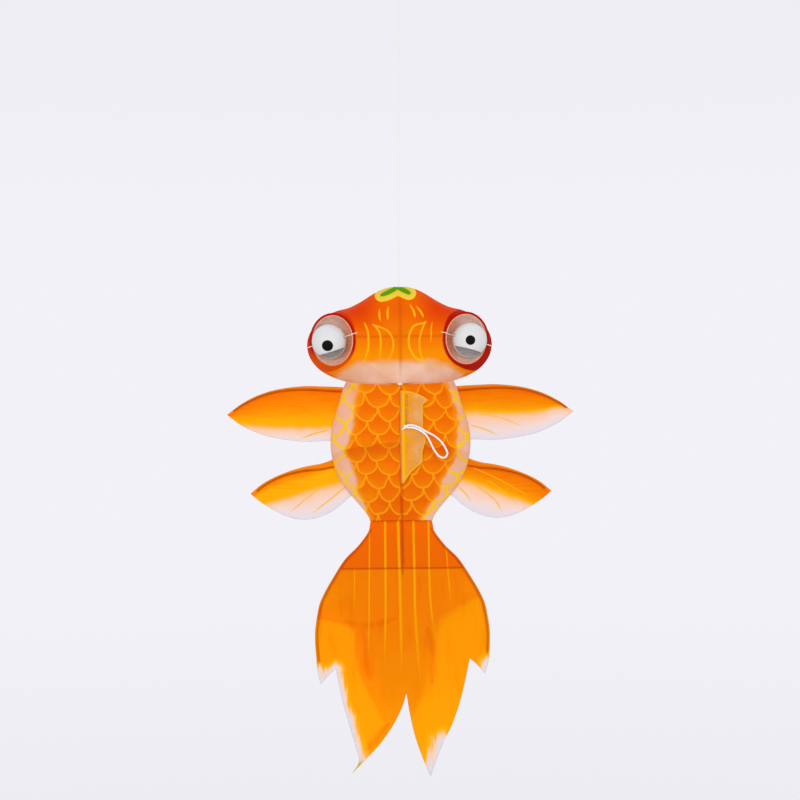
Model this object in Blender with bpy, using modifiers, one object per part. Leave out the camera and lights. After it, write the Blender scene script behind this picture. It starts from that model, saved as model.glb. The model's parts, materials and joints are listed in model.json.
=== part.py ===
"""Goldfish kite: a painted silk fish on a split-bamboo frame, hung by a thread at its nose.

Frame: +Z up towards the nose, -Y out of the fish's painted back, +X to the right as seen
from -Y. The origin is the flat top end of the spine. Blender's unit is the metre, and the
driving dimensions below are in millimetres.
"""

import math

import bmesh
import bpy
import numpy as np
from mathutils import Matrix, Vector

MM = 0.001

# Stock: silk sheet, bamboo rods, cords and the clearance kept between neighbours.
SILK = 0.4
CLEARANCE = 0.4
SPINE_RADIUS = 1.5
RIB_RADIUS = 1.2
HOOP_RADIUS = 1.0
SPAR_RADIUS = 1.1
THREAD_RADIUS = 0.35
CORD_RADIUS = 1.0
ROD_SIDES = 1  # Blender's bevel_resolution for every rod

# Silk edges stand this far in front of and behind the rib they are glued to.
EDGE_STANDOFF = 2.2

# Head outline, right half, from the nose round the eye lobe to the throat: (x, z).
HEAD_OUTLINE = [
    (0, -2.6), (6, -1.2), (13, -1.4), (22, -4), (32, -9.5), (44, -17), (57.5, -23.5), (71, -27),
    (86, -33.5), (97, -44), (103.5, -56), (105, -67), (102, -79), (94, -90), (83, -98), (69, -104),
    (55, -107.5), (38, -109.3), (20, -110), (0, -110.2),
]
HEAD_RIB_INSET = 1.6
THROAT_HALF_WIDTH = 62.0
THROAT_DEPTH = 20.0  # how far the outline comes forward at the middle of the throat

# Height of the silk over the spine, from nose to waist: (z, y).
RIDGE = [
    (-2.6, -2.4), (-8, -10), (-20, -23), (-35, -33.5), (-57, -40), (-85, -35), (-110.2, -26.5),
    (-140, -27), (-180, -28), (-215, -24.5), (-240, -15), (-258, -6.5), (-268, -2.4),
]
SPINE_SQUARE_END = -1.8  # the top of the spine is square to Z down to here
SPINE_BEND_START = -3.2
HEAD_BACK = [(-2.6, 2.4), (-20, 19), (-57, 31), (-90, 20), (-110.2, -22)]  # behind the head: (z, y)
HEAD_BACK_PEAK = (66.0, 29.0, -58.0)  # the silk behind each eye socket stands out to here
HEAD_BACK_FULLNESS = 2.2

# Eye sockets: an oval hoop turned outwards, with the spinning eye on a string across it.
EYE_CENTRE = (76.0, -27.0, -60.5)
EYE_YAW = 20.0
EYE_HALF_WIDTH = 25.0
EYE_HALF_HEIGHT = 28.3
SOCKET_DEPTH = 23.0
SOCKET_INSET = 0.6  # between the middle of the hoop and the silk cup
SOCKET_TILTS = (1.35, 1.05, 0.7, 0.35, 0.06)  # radians from the hoop's plane, deepest ring first
AXLE_SLOPE = 14.6
BALL_RADIUS = 19.5
BALL_WALL = 0.4
BALL_SLIDE = 4.2  # the ball rests against the outer end of its string
SHELL_CUT = 11.2  # each half-shell stops this far past the axle
SHELL_GAP = 0.5  # between the two half-shells
AXLE_HOLE_RADIUS = 0.9
STRING_SLACK = 0.6  # how far the string's bend stands outside the hoop
STRING_RUN_OFF = 2.8  # from the bend to where the string runs straight
BALL_TURN = {"left": 4.0, "right": -4.0}  # degrees, the way the front of the ball goes down
PUPIL_RADIUS = {"left": 6.3, "right": 5.4}
PUPIL_WALL = 0.3
PUPIL_PLACE = {"left": (-5.0, 3.6), "right": (-0.7, -6.0)}  # up and along the axle from the ball's front

# Cross spar behind the nasal sides of the eye hoops.
CROSS_SPAR_Z = -56.5
CROSS_SPAR_HALF = 48.5

# Body half-width from the shoulder to the waist: (z, half width).
BODY_WIDTH = [
    (-108, 61), (-118, 65.5), (-132, 69.5), (-150, 75), (-163, 78), (-179, 79.5), (-194, 78),
    (-208, 74.5), (-226, 65.5), (-242, 53), (-255, 42), (-264, 36), (-270, 35),
]
SHOULDER_Z = -112.4
WAIST_Z = -268.0
BELLY_DEPTH = [(-176, 26), (-200, 25), (-226, 18), (-250, 8.5), (-262, 4), (-268, 2.4)]
BELLY_TOP_Z = -177.0
BELLY_ARCH = 8.0  # how far the belly hoop drops from its middle to its ends
BACK_PEAK = 1.6
BACK_ROUND = 0.75
BODY_RIB_INSET = 1.7
BELLY_HOOP_INSET = 5.0  # in from the side of the body
BELLY_HOOP_UNDER = 2.6  # below the silk of the belly
BELLY_HOOP_DROP = 2.5  # below the silk's upper edge

# Fins: leading edge and trailing edge of a right fin, both from the root to the tip: (x, z).
UPPER_LEADING = [
    (67.5, -113.5), (90, -112.4), (112, -112), (139, -115), (162, -121.5), (182, -131.5), (199, -144),
]
UPPER_TRAILING = [
    (83.5, -175), (100, -175.8), (115, -175.5), (140, -172), (160, -167), (183, -156), (199, -144),
]
UPPER_SPAR = [(73, -118.3), (112, -116), (140, -118), (162, -124), (180, -132.5), (191, -139.5)]
LOWER_LEADING = [
    (81.5, -198), (93, -201.5), (108, -204), (122, -207.5), (135, -212), (149, -218), (161, -225),
    (173, -235),
]
LOWER_TRAILING = [
    (60.5, -241), (70, -249.5), (81, -257), (92, -262), (106, -265.3), (120, -264.6), (135, -260),
    (150, -252), (163, -243.5), (173, -235),
]
LOWER_SPAR = [
    (84.5, -206.5), (93, -208), (111, -209.5), (130, -213.5), (145, -219), (158, -226.5), (165, -232),
]
FIN_SPAR_BEHIND = 1.8

# Dorsal fin, folded flat to the right of the spine, as distance from its hinge and height.
DORSAL_HINGE = (2.3, -30.0, -170.0)
DORSAL_LEAN = 9.0
DORSAL_OUTLINE = [
    (0.6, -118), (12, -120), (23, -124), (30.5, -129.5), (23.5, -135), (24, -147), (24, -160), (27, -175),
    (22.8, -189), (23, -199.5), (15.5, -206), (8.6, -212), (0.6, -224),
]

# Bridle: a doubled white cord that opens into a loop, lying on the dorsal fin.
BRIDLE_KNOT = (3.2, -159.2)
BRIDLE_KNOT_RADIUS = 2.2
BRIDLE_LIFT = 3.0
BRIDLE_OUT = [
    (7.0, -157.7), (14, -157.9), (20.6, -159.9), (27, -163.6), (35, -168.2), (41.5, -172.8), (47.5, -178.8),
    (51.2, -185), (52.2, -190.5), (49.5, -194.6),
]
BRIDLE_BACK = [
    (44.5, -194), (39, -189.8), (34.6, -183), (31, -176), (26.4, -169.4), (20, -164.4), (13.6, -161.6),
    (7.0, -160.8),
]

# Tail: one free panel below the waist, with side ribs, a centre stick and a cross bar.
TAIL_HINGE_Z = -269.5
TAIL_EDGE = [
    (36, -270.4), (38.5, -281), (50.6, -297), (66, -312.6), (81.8, -337), (90.2, -352), (95.7, -365.5),
    (100, -390), (100.4, -409), (99.2, -425.2),
]
TIP_TOP_Z = -426.8
LEFT_SHORT_LOBE = [(99, TIP_TOP_Z), (97.6, -441), (94.3, -455), (86, -444.5)]
RIGHT_SHORT_LOBE = [(99, TIP_TOP_Z), (97.2, -436), (94.3, -445), (86, -436)]
LEFT_NOTCH = (77.2, -437.5)
RIGHT_NOTCH = (77.2, -429.5)
LEFT_LOBE = [
    (70, -473), (63.5, -497), (56, -524), (51.5, -543), (59.5, -556), (33, -531), (21, -516.5), (10, -500),
    (1.5, -483),
]
RIGHT_LOBE = [
    (67, -471), (56.5, -502), (47.5, -519.5), (38.5, -541), (30.5, -562), (20.5, -537), (12.5, -513),
    (7, -487),
]
LOBE_END = 4  # the place of each long lobe's tip in its list
SLIT_TOP = (4.0, -466)
TAIL_ROD_BEHIND = 2.7
TAIL_RIB_INSET = 3.0
TAIL_ROD_START = 6.0
TAIL_RIB_END_Z = -424.0
TAIL_STICK_END_Z = -334.0
TAIL_BAR_Z = -322.6
TAIL_BAR_HALF = 70.0
TAIL_BAR_BEHIND = 5.4
UNDER_TAIL_BEHIND = 8.4
UNDER_TAIL = [
    (36, -280), (50, -301), (66, -318), (80, -341), (90, -362), (70, -378), (49, -391), (34, -425),
]

# Hanging thread.
HANG_LINE_LENGTH = 45.0
NOSE_KNOT_Z = -0.8


def clear_scene():
    for thing in list(bpy.data.objects):
        bpy.data.objects.remove(thing)


def new_collection(name):
    collection = bpy.data.collections.new(name)
    bpy.context.scene.collection.children.link(collection)
    return collection


def material(name, colour, roughness):
    made = bpy.data.materials.new(name)
    made.use_nodes = True
    shader = made.node_tree.nodes["Principled BSDF"]
    shader.inputs["Base Color"].default_value = (*colour, 1.0)
    shader.inputs["Roughness"].default_value = roughness
    shader.inputs["Metallic"].default_value = 0.0
    return made


def place(name, data, finish):
    """A new object of this data in the kite's collection."""
    made = bpy.data.objects.new(name, data)
    data.materials.append(finish)
    kite.objects.link(made)
    return made


def smooth(points, steps=4):
    """Points along a Catmull-Rom curve through the given points, ends included."""
    knots = [Vector(p) for p in points]
    ends = [2 * knots[0] - knots[1]] + knots + [2 * knots[-1] - knots[-2]]
    made = []
    for a, b, c, d in zip(ends, ends[1:], ends[2:], ends[3:]):
        for step in range(steps):
            t = step / steps
            square = (2 * a - 5 * b + 4 * c - d) * t**2
            cube = (3 * b - a - 3 * c + d) * t**3
            made.append(0.5 * (2 * b + (c - a) * t + square + cube))
    return made + [knots[-1]]


def at(profile, z):
    """The value of a (z, value) profile at height z, on a smooth curve through its points."""
    line = sorted(tuple(p) for p in smooth(profile))
    return float(np.interp(z, [p[0] for p in line], [p[1] for p in line]))


def full_turn(count):
    """Angles equally spaced round a full turn."""
    return [2 * math.pi * i / count for i in range(count)]


def rod(name, points, radius, finish, ring=False):
    """A round rod or cord through 3-D points in millimetres, closed on itself when ring is set."""
    curve = bpy.data.curves.new(name, "CURVE")
    curve.dimensions = "3D"
    curve.bevel_depth = radius * MM
    curve.bevel_resolution = ROD_SIDES
    curve.use_fill_caps = not ring
    spline = curve.splines.new("POLY")
    spline.points.add(len(points) - 1)
    for knot, point in zip(spline.points, points):
        knot.co = (point[0] * MM, point[1] * MM, point[2] * MM, 1.0)
    spline.use_cyclic_u = ring
    return place(name, curve, finish)


def sheet(name, outline, finish, y=0.0):
    """A flat silk panel in the XZ plane at this y, from its outline as (x, z) points."""
    curve = bpy.data.curves.new(name, "CURVE")
    curve.dimensions = "2D"
    curve.fill_mode = "BOTH"
    curve.extrude = SILK / 2 * MM
    spline = curve.splines.new("POLY")
    spline.points.add(len(outline) - 1)
    for knot, (x, z) in zip(spline.points, outline):
        knot.co = (x * MM, z * MM, 0.0, 1.0)
    spline.use_cyclic_u = True
    made = place(name, curve, finish)
    made.rotation_euler.x = math.pi / 2
    made.location.y = y * MM
    return made


def loft(name, rows, finish, thickness, ring=False, centre=None, mirror=False):
    """A stretched sheet lofted through rows of equally many points, then thickened."""
    mesh = bmesh.new()
    verts = [[mesh.verts.new(Vector(p) * MM) for p in row] for row in rows]
    across = len(rows[0]) if ring else len(rows[0]) - 1
    for low, high in zip(verts, verts[1:]):
        for i in range(across):
            j = (i + 1) % len(low)
            mesh.faces.new((low[i], low[j], high[j], high[i]))
    if centre is not None:
        middle = mesh.verts.new(Vector(centre) * MM)
        for i in range(across):
            mesh.faces.new((verts[0][(i + 1) % len(rows[0])], verts[0][i], middle))
    data = bpy.data.meshes.new(name)
    mesh.to_mesh(data)
    mesh.free()
    made = place(name, data, finish)
    if mirror:
        half = made.modifiers.new("other_half", "MIRROR")
        half.merge_threshold = 0.00005
    shell = made.modifiers.new("thickness", "SOLIDIFY")
    shell.thickness = thickness * MM
    shell.offset = 0.0
    data.shade_smooth()
    return made


# ---------------------------------------------------------------- head


def throat_forward(x, z):
    """How far the head's outline comes forward: nothing at the lobes, most at mid throat."""
    if z > -100 or abs(x) > THROAT_HALF_WIDTH:
        return 0.0
    return THROAT_DEPTH * (1 - (x / THROAT_HALF_WIDTH) ** 2)


def head_edge(steps):
    return [(p.x, p.y) for p in smooth(HEAD_OUTLINE, steps)]


def eye_frame(side):
    """Unit vectors of an eye hoop: outwards to +X, up, and the way it faces."""
    yaw = math.radians(EYE_YAW)
    across = Vector((math.cos(yaw), side * math.sin(yaw), 0))
    facing = Vector((side * math.sin(yaw), -math.cos(yaw), 0))
    return across, Vector((0, 0, 1)), facing


def eye_centre(side):
    return Vector((side * EYE_CENTRE[0], EYE_CENTRE[1], EYE_CENTRE[2]))


def hoop_point(side, angle, grow, forward=0.0):
    """A point on the eye hoop's oval, grown outwards and moved forwards by millimetres."""
    across, up, facing = eye_frame(side)
    wide = (EYE_HALF_WIDTH + grow) * math.cos(angle)
    high = (EYE_HALF_HEIGHT + grow) * math.sin(angle)
    return eye_centre(side) + across * wide + up * high + facing * forward


def half_head_boundary(front):
    """The closed edge of half the head: its outline, then the midline back up to the nose."""
    sign = -1 if front else 1
    edge = [Vector((x, sign * EDGE_STANDOFF - throat_forward(x, z), z)) for x, z in head_edge(2)]
    midline = RIDGE if front else HEAD_BACK
    top, bottom = HEAD_OUTLINE[0][1], HEAD_OUTLINE[-1][1]
    edge[0].y = at(midline, top)
    edge[-1].y = at(midline, bottom)
    rise = [bottom + (top - bottom) * i / 9 for i in range(1, 9)]
    return edge + [Vector((0, at(midline, z), z)) for z in rise]


def front_head_rows(rings=3):
    boundary = half_head_boundary(front=True)
    centre = eye_centre(1)
    rows = []
    for ring in range(rings + 1):
        share = ring / rings
        row = []
        for point in boundary:
            angle = math.atan2(point.z - centre.z, point.x - centre.x)
            inner = hoop_point(1, angle, 2 * HOOP_RADIUS + 2 * CLEARANCE)
            row.append(inner.lerp(point, share))
        rows.append(row)
    return rows


def back_head_rows(rings=3):
    boundary = half_head_boundary(front=False)
    middle = Vector(HEAD_BACK_PEAK)
    rows = []
    for ring in range(1, rings + 1):
        share = ring / rings
        row = []
        for point in boundary:
            mixed = middle.lerp(point, share)
            mixed.y = point.y + (middle.y - point.y) * (1 - share**HEAD_BACK_FULLNESS)
            row.append(mixed)
        rows.append(row)
    return rows, middle


def head_ribs():
    """Two bent bamboo strips, one round each side of the head, lashed beside the spine."""
    inset = [Vector(p) for p in head_edge(2)]
    centre = Vector((0, EYE_CENTRE[2]))
    for side, name in ((-1, "left_head_rib"), (1, "right_head_rib")):
        path = []
        for before, here, after in zip(inset, inset[1:], inset[2:]):
            along = (after - before).normalized()
            inward = Vector((along.y, -along.x))
            spot = here + inward * HEAD_RIB_INSET
            if (spot - centre).length > (here - centre).length:
                spot = here - inward * HEAD_RIB_INSET
            if spot.x > 2 * SPINE_RADIUS:
                path.append((side * spot.x, -throat_forward(here.x, here.y), spot.y))
        rod(name, path, RIB_RADIUS, BAMBOO)


def eye_hoop(side, name):
    path = [hoop_point(side, a, HOOP_RADIUS) for a in full_turn(24)]
    rod(name, path, HOOP_RADIUS, BAMBOO, ring=True)


def socket_silk(side, name):
    """The pink silk cup behind an eye hoop."""
    across, up, facing = eye_frame(side)
    rows = []
    for tilt in SOCKET_TILTS:
        middle = eye_centre(side) - facing * SOCKET_DEPTH * math.sin(tilt)
        wide = (EYE_HALF_WIDTH - SOCKET_INSET) * math.cos(tilt)
        high = (EYE_HALF_HEIGHT - SOCKET_INSET) * math.cos(tilt)
        rows.append([middle + across * wide * math.cos(a) + up * high * math.sin(a) for a in full_turn(24)])
    deepest = eye_centre(side) - facing * SOCKET_DEPTH
    loft(name, rows, SOCKET_SILK, SILK, ring=True, centre=deepest)


def axle_frame(side):
    """Unit vectors of a spinning eye: up and forwards, both square to its axle, and the axle."""
    slope = math.radians(AXLE_SLOPE)
    across = eye_frame(side)[0]
    axle = across * math.cos(slope) - Vector((0, 0, side * math.sin(slope)))
    forward = Vector((0, -1, 0))
    forward = (forward - axle * forward.dot(axle)).normalized()
    return forward.cross(axle), forward, axle


def eye_string(side, name):
    """The string across the hoop: over the rim, straight through the ball, over the rim again."""
    facing = eye_frame(side)[2]
    axle = axle_frame(side)[2]
    reach = EYE_HALF_WIDTH + HOOP_RADIUS + STRING_SLACK
    wrap = HOOP_RADIUS + CLEARANCE + THREAD_RADIUS
    path = []
    for turn in (130, 90, 50, 15):
        bend = math.radians(turn)
        path.append((-reach + wrap * math.cos(bend), wrap * math.sin(bend)))
    path += [(-reach + STRING_RUN_OFF, 0.0)]
    path += [(-along, lift) for along, lift in reversed(path)]
    rod(name, [eye_centre(side) + axle * a + facing * lift for a, lift in path], THREAD_RADIUS, STRING)


def ball_centre(side):
    return eye_centre(side) + axle_frame(side)[2] * side * BALL_SLIDE


def spinner_matrix(side, turned=0.0):
    """Places a ball whose own axes are up, forwards and along the axle, turned about its axle."""
    up, forward, axle = axle_frame(side)
    facing = Matrix((up, forward, axle)).transposed().to_4x4()
    return Matrix.Translation(ball_centre(side) * MM) @ facing @ Matrix.Rotation(turned, 4, "Z")


def string_cutter(side, name):
    mesh = bmesh.new()
    bmesh.ops.create_cone(
        mesh, cap_ends=True, segments=12, radius1=AXLE_HOLE_RADIUS * MM, radius2=AXLE_HOLE_RADIUS * MM,
        depth=3 * BALL_RADIUS * MM,
    )
    data = bpy.data.meshes.new(name)
    mesh.to_mesh(data)
    mesh.free()
    made = bpy.data.objects.new(name, data)
    made.matrix_world = spinner_matrix(side)
    made.hide_render = True
    made.display_type = "WIRE"
    cutters.objects.link(made)
    return made


def half_shell_mesh(name):
    """Part of a hollow ball: its front half, less a slice below the axle. The poles are on Z."""
    mesh = bmesh.new()
    bmesh.ops.create_uvsphere(mesh, u_segments=16, v_segments=10, radius=BALL_RADIUS * MM)
    for point, normal in (((0, SHELL_GAP / 2, 0), (0, -1, 0)), ((-SHELL_CUT, 0, 0), (-1, 0, 0))):
        bmesh.ops.bisect_plane(
            mesh, geom=mesh.verts[:] + mesh.edges[:] + mesh.faces[:],
            plane_co=Vector(point) * MM, plane_no=normal, clear_outer=True,
        )
    data = bpy.data.meshes.new(name)
    mesh.to_mesh(data)
    mesh.free()
    data.shade_smooth()
    return data


def half_shell(name, matrix, cutter):
    made = place(name, half_shell_mesh(name), BALL_WHITE)
    made.matrix_world = matrix
    wall = made.modifiers.new("wall", "SOLIDIFY")
    wall.thickness = BALL_WALL * MM
    wall.offset = 0.0
    hole = made.modifiers.new("axle_hole", "BOOLEAN")
    hole.operation = "DIFFERENCE"
    hole.object = cutter


def pupil(side, word):
    """A black disc stuck on the front half-shell."""
    name = f"{word}_pupil"
    up, forward, axle = axle_frame(side)
    high, along = PUPIL_PLACE[word]
    depth = math.sqrt(BALL_RADIUS**2 - high**2 - along**2)
    facing = (up * high + axle * along + forward * depth).normalized()
    radius = BALL_RADIUS + BALL_WALL + CLEARANCE
    mesh = bmesh.new()
    bmesh.ops.create_uvsphere(mesh, u_segments=16, v_segments=16, radius=radius * MM)
    bmesh.ops.bisect_plane(
        mesh, geom=mesh.verts[:] + mesh.edges[:] + mesh.faces[:],
        plane_co=(0, 0, math.sqrt(radius**2 - PUPIL_RADIUS[word] ** 2) * MM), plane_no=(0, 0, -1),
        clear_outer=True,
    )
    data = bpy.data.meshes.new(name)
    mesh.to_mesh(data)
    mesh.free()
    data.shade_smooth()
    made = place(name, data, PUPIL_BLACK)
    turn = facing.to_track_quat("Z", "Y").to_matrix().to_4x4()
    made.matrix_world = Matrix.Translation(ball_centre(side) * MM) @ turn
    wall = made.modifiers.new("wall", "SOLIDIFY")
    wall.thickness = PUPIL_WALL * MM
    wall.offset = 0.0


def eye(side, word):
    eye_hoop(side, f"{word}_eye_hoop")
    socket_silk(side, f"{word}_socket_silk")
    eye_string(side, f"{word}_eye_string")
    cutter = string_cutter(side, f"{word}_axle_cutter")
    turned = math.radians(BALL_TURN[word])
    half_shell(f"{word}_eye_front_shell", spinner_matrix(side, turned), cutter)
    half_shell(f"{word}_eye_rear_shell", spinner_matrix(side, turned + math.pi), cutter)
    pupil(side, word)


def head():
    loft("head_back_silk", front_head_rows(), HEAD_SILK, SILK, ring=True, mirror=True)
    rows, middle = back_head_rows()
    loft("head_belly_silk", rows, PALE_SILK, SILK, ring=True, centre=middle, mirror=True)
    head_ribs()
    spine_back = at(RIDGE, CROSS_SPAR_Z) + SILK + CLEARANCE + 2 * SPINE_RADIUS
    behind_spine = spine_back + CLEARANCE + SPAR_RADIUS
    ends = [(x, behind_spine, CROSS_SPAR_Z) for x in (-CROSS_SPAR_HALF, CROSS_SPAR_HALF)]
    rod("head_cross_spar", ends, SPAR_RADIUS, BAMBOO)
    eye(-1, "left")
    eye(1, "right")


# ---------------------------------------------------------------- spine, body and bridle


def spine():
    """One bowed strip under the silk from the nose to the waist, with a square-cut top end."""
    ridge = [Vector(p) for p in smooth(RIDGE, 3)]
    under = SPINE_RADIUS + 2 * CLEARANCE + SILK / 2
    path = [(0, 0, 0), (0, 0, SPINE_SQUARE_END)]
    for before, here, after in zip(ridge, ridge[1:], ridge[2:]):
        along = (after - before).normalized()
        inward = Vector((along.y, -along.x))
        spot = here + inward * under
        if spot.x < SPINE_BEND_START:
            path.append((0, min(spot.y, 0), spot.x))
    rod("spine", path, SPINE_RADIUS, BAMBOO)


def shoulder_z(x):
    """The body's upper edge, which follows the throat of the head."""
    return SHOULDER_Z + 3.4 * (x / THROAT_HALF_WIDTH) ** 2


def body_rows(depth, top, bulge, count, across=8):
    """Rows of points over half the body's depth, from its upper edge down to the waist."""
    rows = []
    for i in range(count + 1):
        share = i / count
        row = []
        for j in range(-across, across + 1):
            part = math.sin(0.5 * math.pi * j / across)
            level = top(part * THROAT_HALF_WIDTH) * (1 - share) + WAIST_Z * share
            x = part * at(BODY_WIDTH, level)
            far = at(depth, level)
            near = math.copysign(EDGE_STANDOFF, far)
            row.append((x, near + (far - near) * bulge(abs(part)), level))
        rows.append(row)
    return rows


def belly_top(x):
    return BELLY_TOP_Z - BELLY_ARCH * (x / THROAT_HALF_WIDTH) ** 2


def peaked(part):
    """The back's cross section: a ridge at the spine, falling away to the side ribs."""
    return (1 - part**BACK_PEAK) ** BACK_ROUND


def rounded(part):
    """The belly's cross section: half an ellipse."""
    return math.sqrt(max(0.0, 1 - part**2))


def body_rib(side, name):
    levels = np.linspace(shoulder_z(THROAT_HALF_WIDTH) - RIB_RADIUS, WAIST_Z - 0.5, 20)
    rod(name, [(side * (at(BODY_WIDTH, z) - BODY_RIB_INSET), 0, z) for z in levels], RIB_RADIUS, BAMBOO)


def belly_hoop():
    """Half a hoop inside the belly's upper edge, from one side rib to the other."""
    half = at(BODY_WIDTH, BELLY_TOP_Z) - BELLY_HOOP_INSET
    depth = at(BELLY_DEPTH, BELLY_TOP_Z) - BELLY_HOOP_UNDER
    path = []
    for turn in range(0, 181, 10):
        bend = math.radians(turn)
        z = belly_top(THROAT_HALF_WIDTH * math.cos(bend)) - BELLY_HOOP_DROP
        path.append((half * math.cos(bend), depth * math.sin(bend), z))
    rod("belly_hoop", path, HOOP_RADIUS, BAMBOO)


def body():
    loft("body_back_silk", body_rows(RIDGE, shoulder_z, peaked, 10), SCALE_SILK, SILK)
    loft("body_belly_silk", body_rows(BELLY_DEPTH, belly_top, rounded, 7), PALE_SILK, SILK)
    body_rib(-1, "left_body_rib")
    body_rib(1, "right_body_rib")
    belly_hoop()


def on_dorsal(distance, z, lift=0.0):
    """A point over the folded dorsal fin: along it from the hinge, its height, and above it."""
    lean = math.radians(DORSAL_LEAN)
    x = DORSAL_HINGE[0] + distance * math.cos(lean) + lift * math.sin(lean)
    y = DORSAL_HINGE[1] + distance * math.sin(lean) - lift * math.cos(lean)
    return Vector((x, y, z))


def dorsal_fin():
    made = sheet("dorsal_fin_silk", DORSAL_OUTLINE, SCALE_SILK)
    made.location = (DORSAL_HINGE[0] * MM, DORSAL_HINGE[1] * MM, 0)
    made.rotation_euler = (math.pi / 2, 0, math.radians(DORSAL_LEAN))


def ball(name, centre, radius, finish):
    mesh = bmesh.new()
    bmesh.ops.create_icosphere(mesh, subdivisions=2, radius=radius * MM)
    data = bpy.data.meshes.new(name)
    mesh.to_mesh(data)
    mesh.free()
    data.shade_smooth()
    made = place(name, data, finish)
    made.location = Vector(centre) * MM


def bridle():
    ball("bridle_knot", on_dorsal(*BRIDLE_KNOT, BRIDLE_LIFT), BRIDLE_KNOT_RADIUS, STRING)
    path = smooth(BRIDLE_OUT + BRIDLE_BACK, 2)
    rod("bridle_loop", [on_dorsal(p.x, p.y, BRIDLE_LIFT) for p in path], CORD_RADIUS, STRING)


# ---------------------------------------------------------------- fins


def fin(word, side, leading, trailing, spar, steps=3):
    """A flat silk fin and the bamboo spar glued behind its leading edge."""
    edge = smooth(leading, steps) + smooth(trailing, steps)[-2::-1]
    sheet(f"{word}_silk", [(side * p.x, p.y) for p in edge], FIN_SILK)
    path = [(side * p.x, FIN_SPAR_BEHIND, p.y) for p in smooth(spar, steps)]
    rod(f"{word}_spar", path, SPAR_RADIUS, BAMBOO)


def fins():
    for side, word in ((-1, "left"), (1, "right")):
        fin(f"{word}_upper_fin", side, UPPER_LEADING, UPPER_TRAILING, UPPER_SPAR)
        fin(f"{word}_lower_fin", side, LOWER_LEADING, LOWER_TRAILING, LOWER_SPAR)


# ---------------------------------------------------------------- tail


def mirrored(points):
    return [(-x, z) for x, z in reversed(points)]


def long_lobe(notch, points, slit_top):
    """The edge of a long lobe, from the notch down to its tip and up to the top of the slit."""
    down = smooth([notch] + points[: LOBE_END + 1], 2)
    up = smooth(points[LOBE_END:] + [slit_top], 2)
    return [tuple(p) for p in down + up[1:]]


def tail_tips():
    """The free lower silk: a short and a long lobe each side of the middle slit."""
    right = RIGHT_SHORT_LOBE + long_lobe(RIGHT_NOTCH, RIGHT_LOBE, SLIT_TOP)
    left = LEFT_SHORT_LOBE + long_lobe(LEFT_NOTCH, LEFT_LOBE, (-SLIT_TOP[0], SLIT_TOP[1]))[:-1]
    sheet("tail_tip_silk", right + mirrored(left), TAIL_SILK)


def tail():
    edge = [tuple(p) for p in smooth(TAIL_EDGE, 2)]
    sheet("tail_silk", edge + mirrored(edge), TAIL_SILK)
    sheet("under_tail_silk", UNDER_TAIL + mirrored(UNDER_TAIL), TAIL_SILK, y=UNDER_TAIL_BEHIND)
    tail_tips()
    start = TAIL_HINGE_Z - TAIL_ROD_START
    for side, name in ((-1, "left_tail_rib"), (1, "right_tail_rib")):
        path = [p for p in smooth(TAIL_EDGE, 2) if TAIL_RIB_END_Z < p.y < start]
        points = [(side * (p.x - TAIL_RIB_INSET), TAIL_ROD_BEHIND, p.y) for p in path]
        rod(name, points, RIB_RADIUS, BAMBOO)
    stick = [(0, TAIL_ROD_BEHIND, z) for z in (start, TAIL_STICK_END_Z)]
    rod("tail_stick", stick, RIB_RADIUS, BAMBOO)
    ends = [(x, TAIL_BAR_BEHIND, TAIL_BAR_Z) for x in (-TAIL_BAR_HALF, TAIL_BAR_HALF)]
    rod("tail_cross_bar", ends, RIB_RADIUS, BAMBOO)
    lashing("tail_lashing")


def lashing(name):
    """A slanting thread ring that binds the cross bar to the centre stick."""
    near = TAIL_ROD_BEHIND - RIB_RADIUS
    far = TAIL_BAR_BEHIND + RIB_RADIUS
    deep = (far - near) / 2 + CLEARANCE + THREAD_RADIUS
    wide = RIB_RADIUS * math.sqrt(2) + 2 * CLEARANCE + THREAD_RADIUS
    middle = Vector((0, (near + far) / 2, TAIL_BAR_Z))
    slant = Vector((1, 0, 1)).normalized()
    back = Vector((0, 1, 0))
    ring = [middle + slant * wide * math.cos(a) + back * deep * math.sin(a) for a in full_turn(16)]
    rod(name, ring, THREAD_RADIUS, STRING, ring=True)


# ---------------------------------------------------------------- threads at the nose


def hanging_thread():
    around = SPINE_RADIUS + CLEARANCE + THREAD_RADIUS
    ring = [(around * math.cos(a), around * math.sin(a), NOSE_KNOT_Z) for a in full_turn(16)]
    rod("nose_knot", ring, THREAD_RADIUS, STRING, ring=True)
    rise = [(0, -around, NOSE_KNOT_Z + 2 * THREAD_RADIUS + CLEARANCE), (0, -around, HANG_LINE_LENGTH)]
    rod("hanging_thread", rise, THREAD_RADIUS, STRING)


clear_scene()
kite = new_collection("goldfish_kite")
cutters = new_collection("cutters")

BAMBOO = material("bamboo", (0.45, 0.26, 0.10), 0.55)
HEAD_SILK = material("head_silk", (0.80, 0.16, 0.01), 0.6)
SCALE_SILK = material("scale_silk", (0.83, 0.22, 0.01), 0.6)
PALE_SILK = material("pale_silk", (0.83, 0.45, 0.33), 0.6)
SOCKET_SILK = material("socket_silk", (0.83, 0.50, 0.42), 0.6)
FIN_SILK = material("fin_silk", (0.88, 0.33, 0.02), 0.6)
TAIL_SILK = material("tail_silk", (0.88, 0.23, 0.01), 0.6)
STRING = material("string", (0.86, 0.84, 0.80), 0.8)
BALL_WHITE = material("ball_white", (0.83, 0.84, 0.85), 0.35)
PUPIL_BLACK = material("pupil_black", (0.01, 0.01, 0.01), 0.3)

spine()
head()
body()
dorsal_fin()
bridle()
fins()
tail()
hanging_thread()
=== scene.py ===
"""Looks of the goldfish kite: painted silk over split bamboo, with white eyes that spin on strings.

Lengths are in millimetres in the kite's own frame (+Z up to the nose, -Y out of the painted
back, +X to the right as seen from -Y) and become metres where a mesh is made. Every mesh keeps
its resting place in a "rest" attribute, so that the paint stays on a bending sheet.
"""

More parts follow.
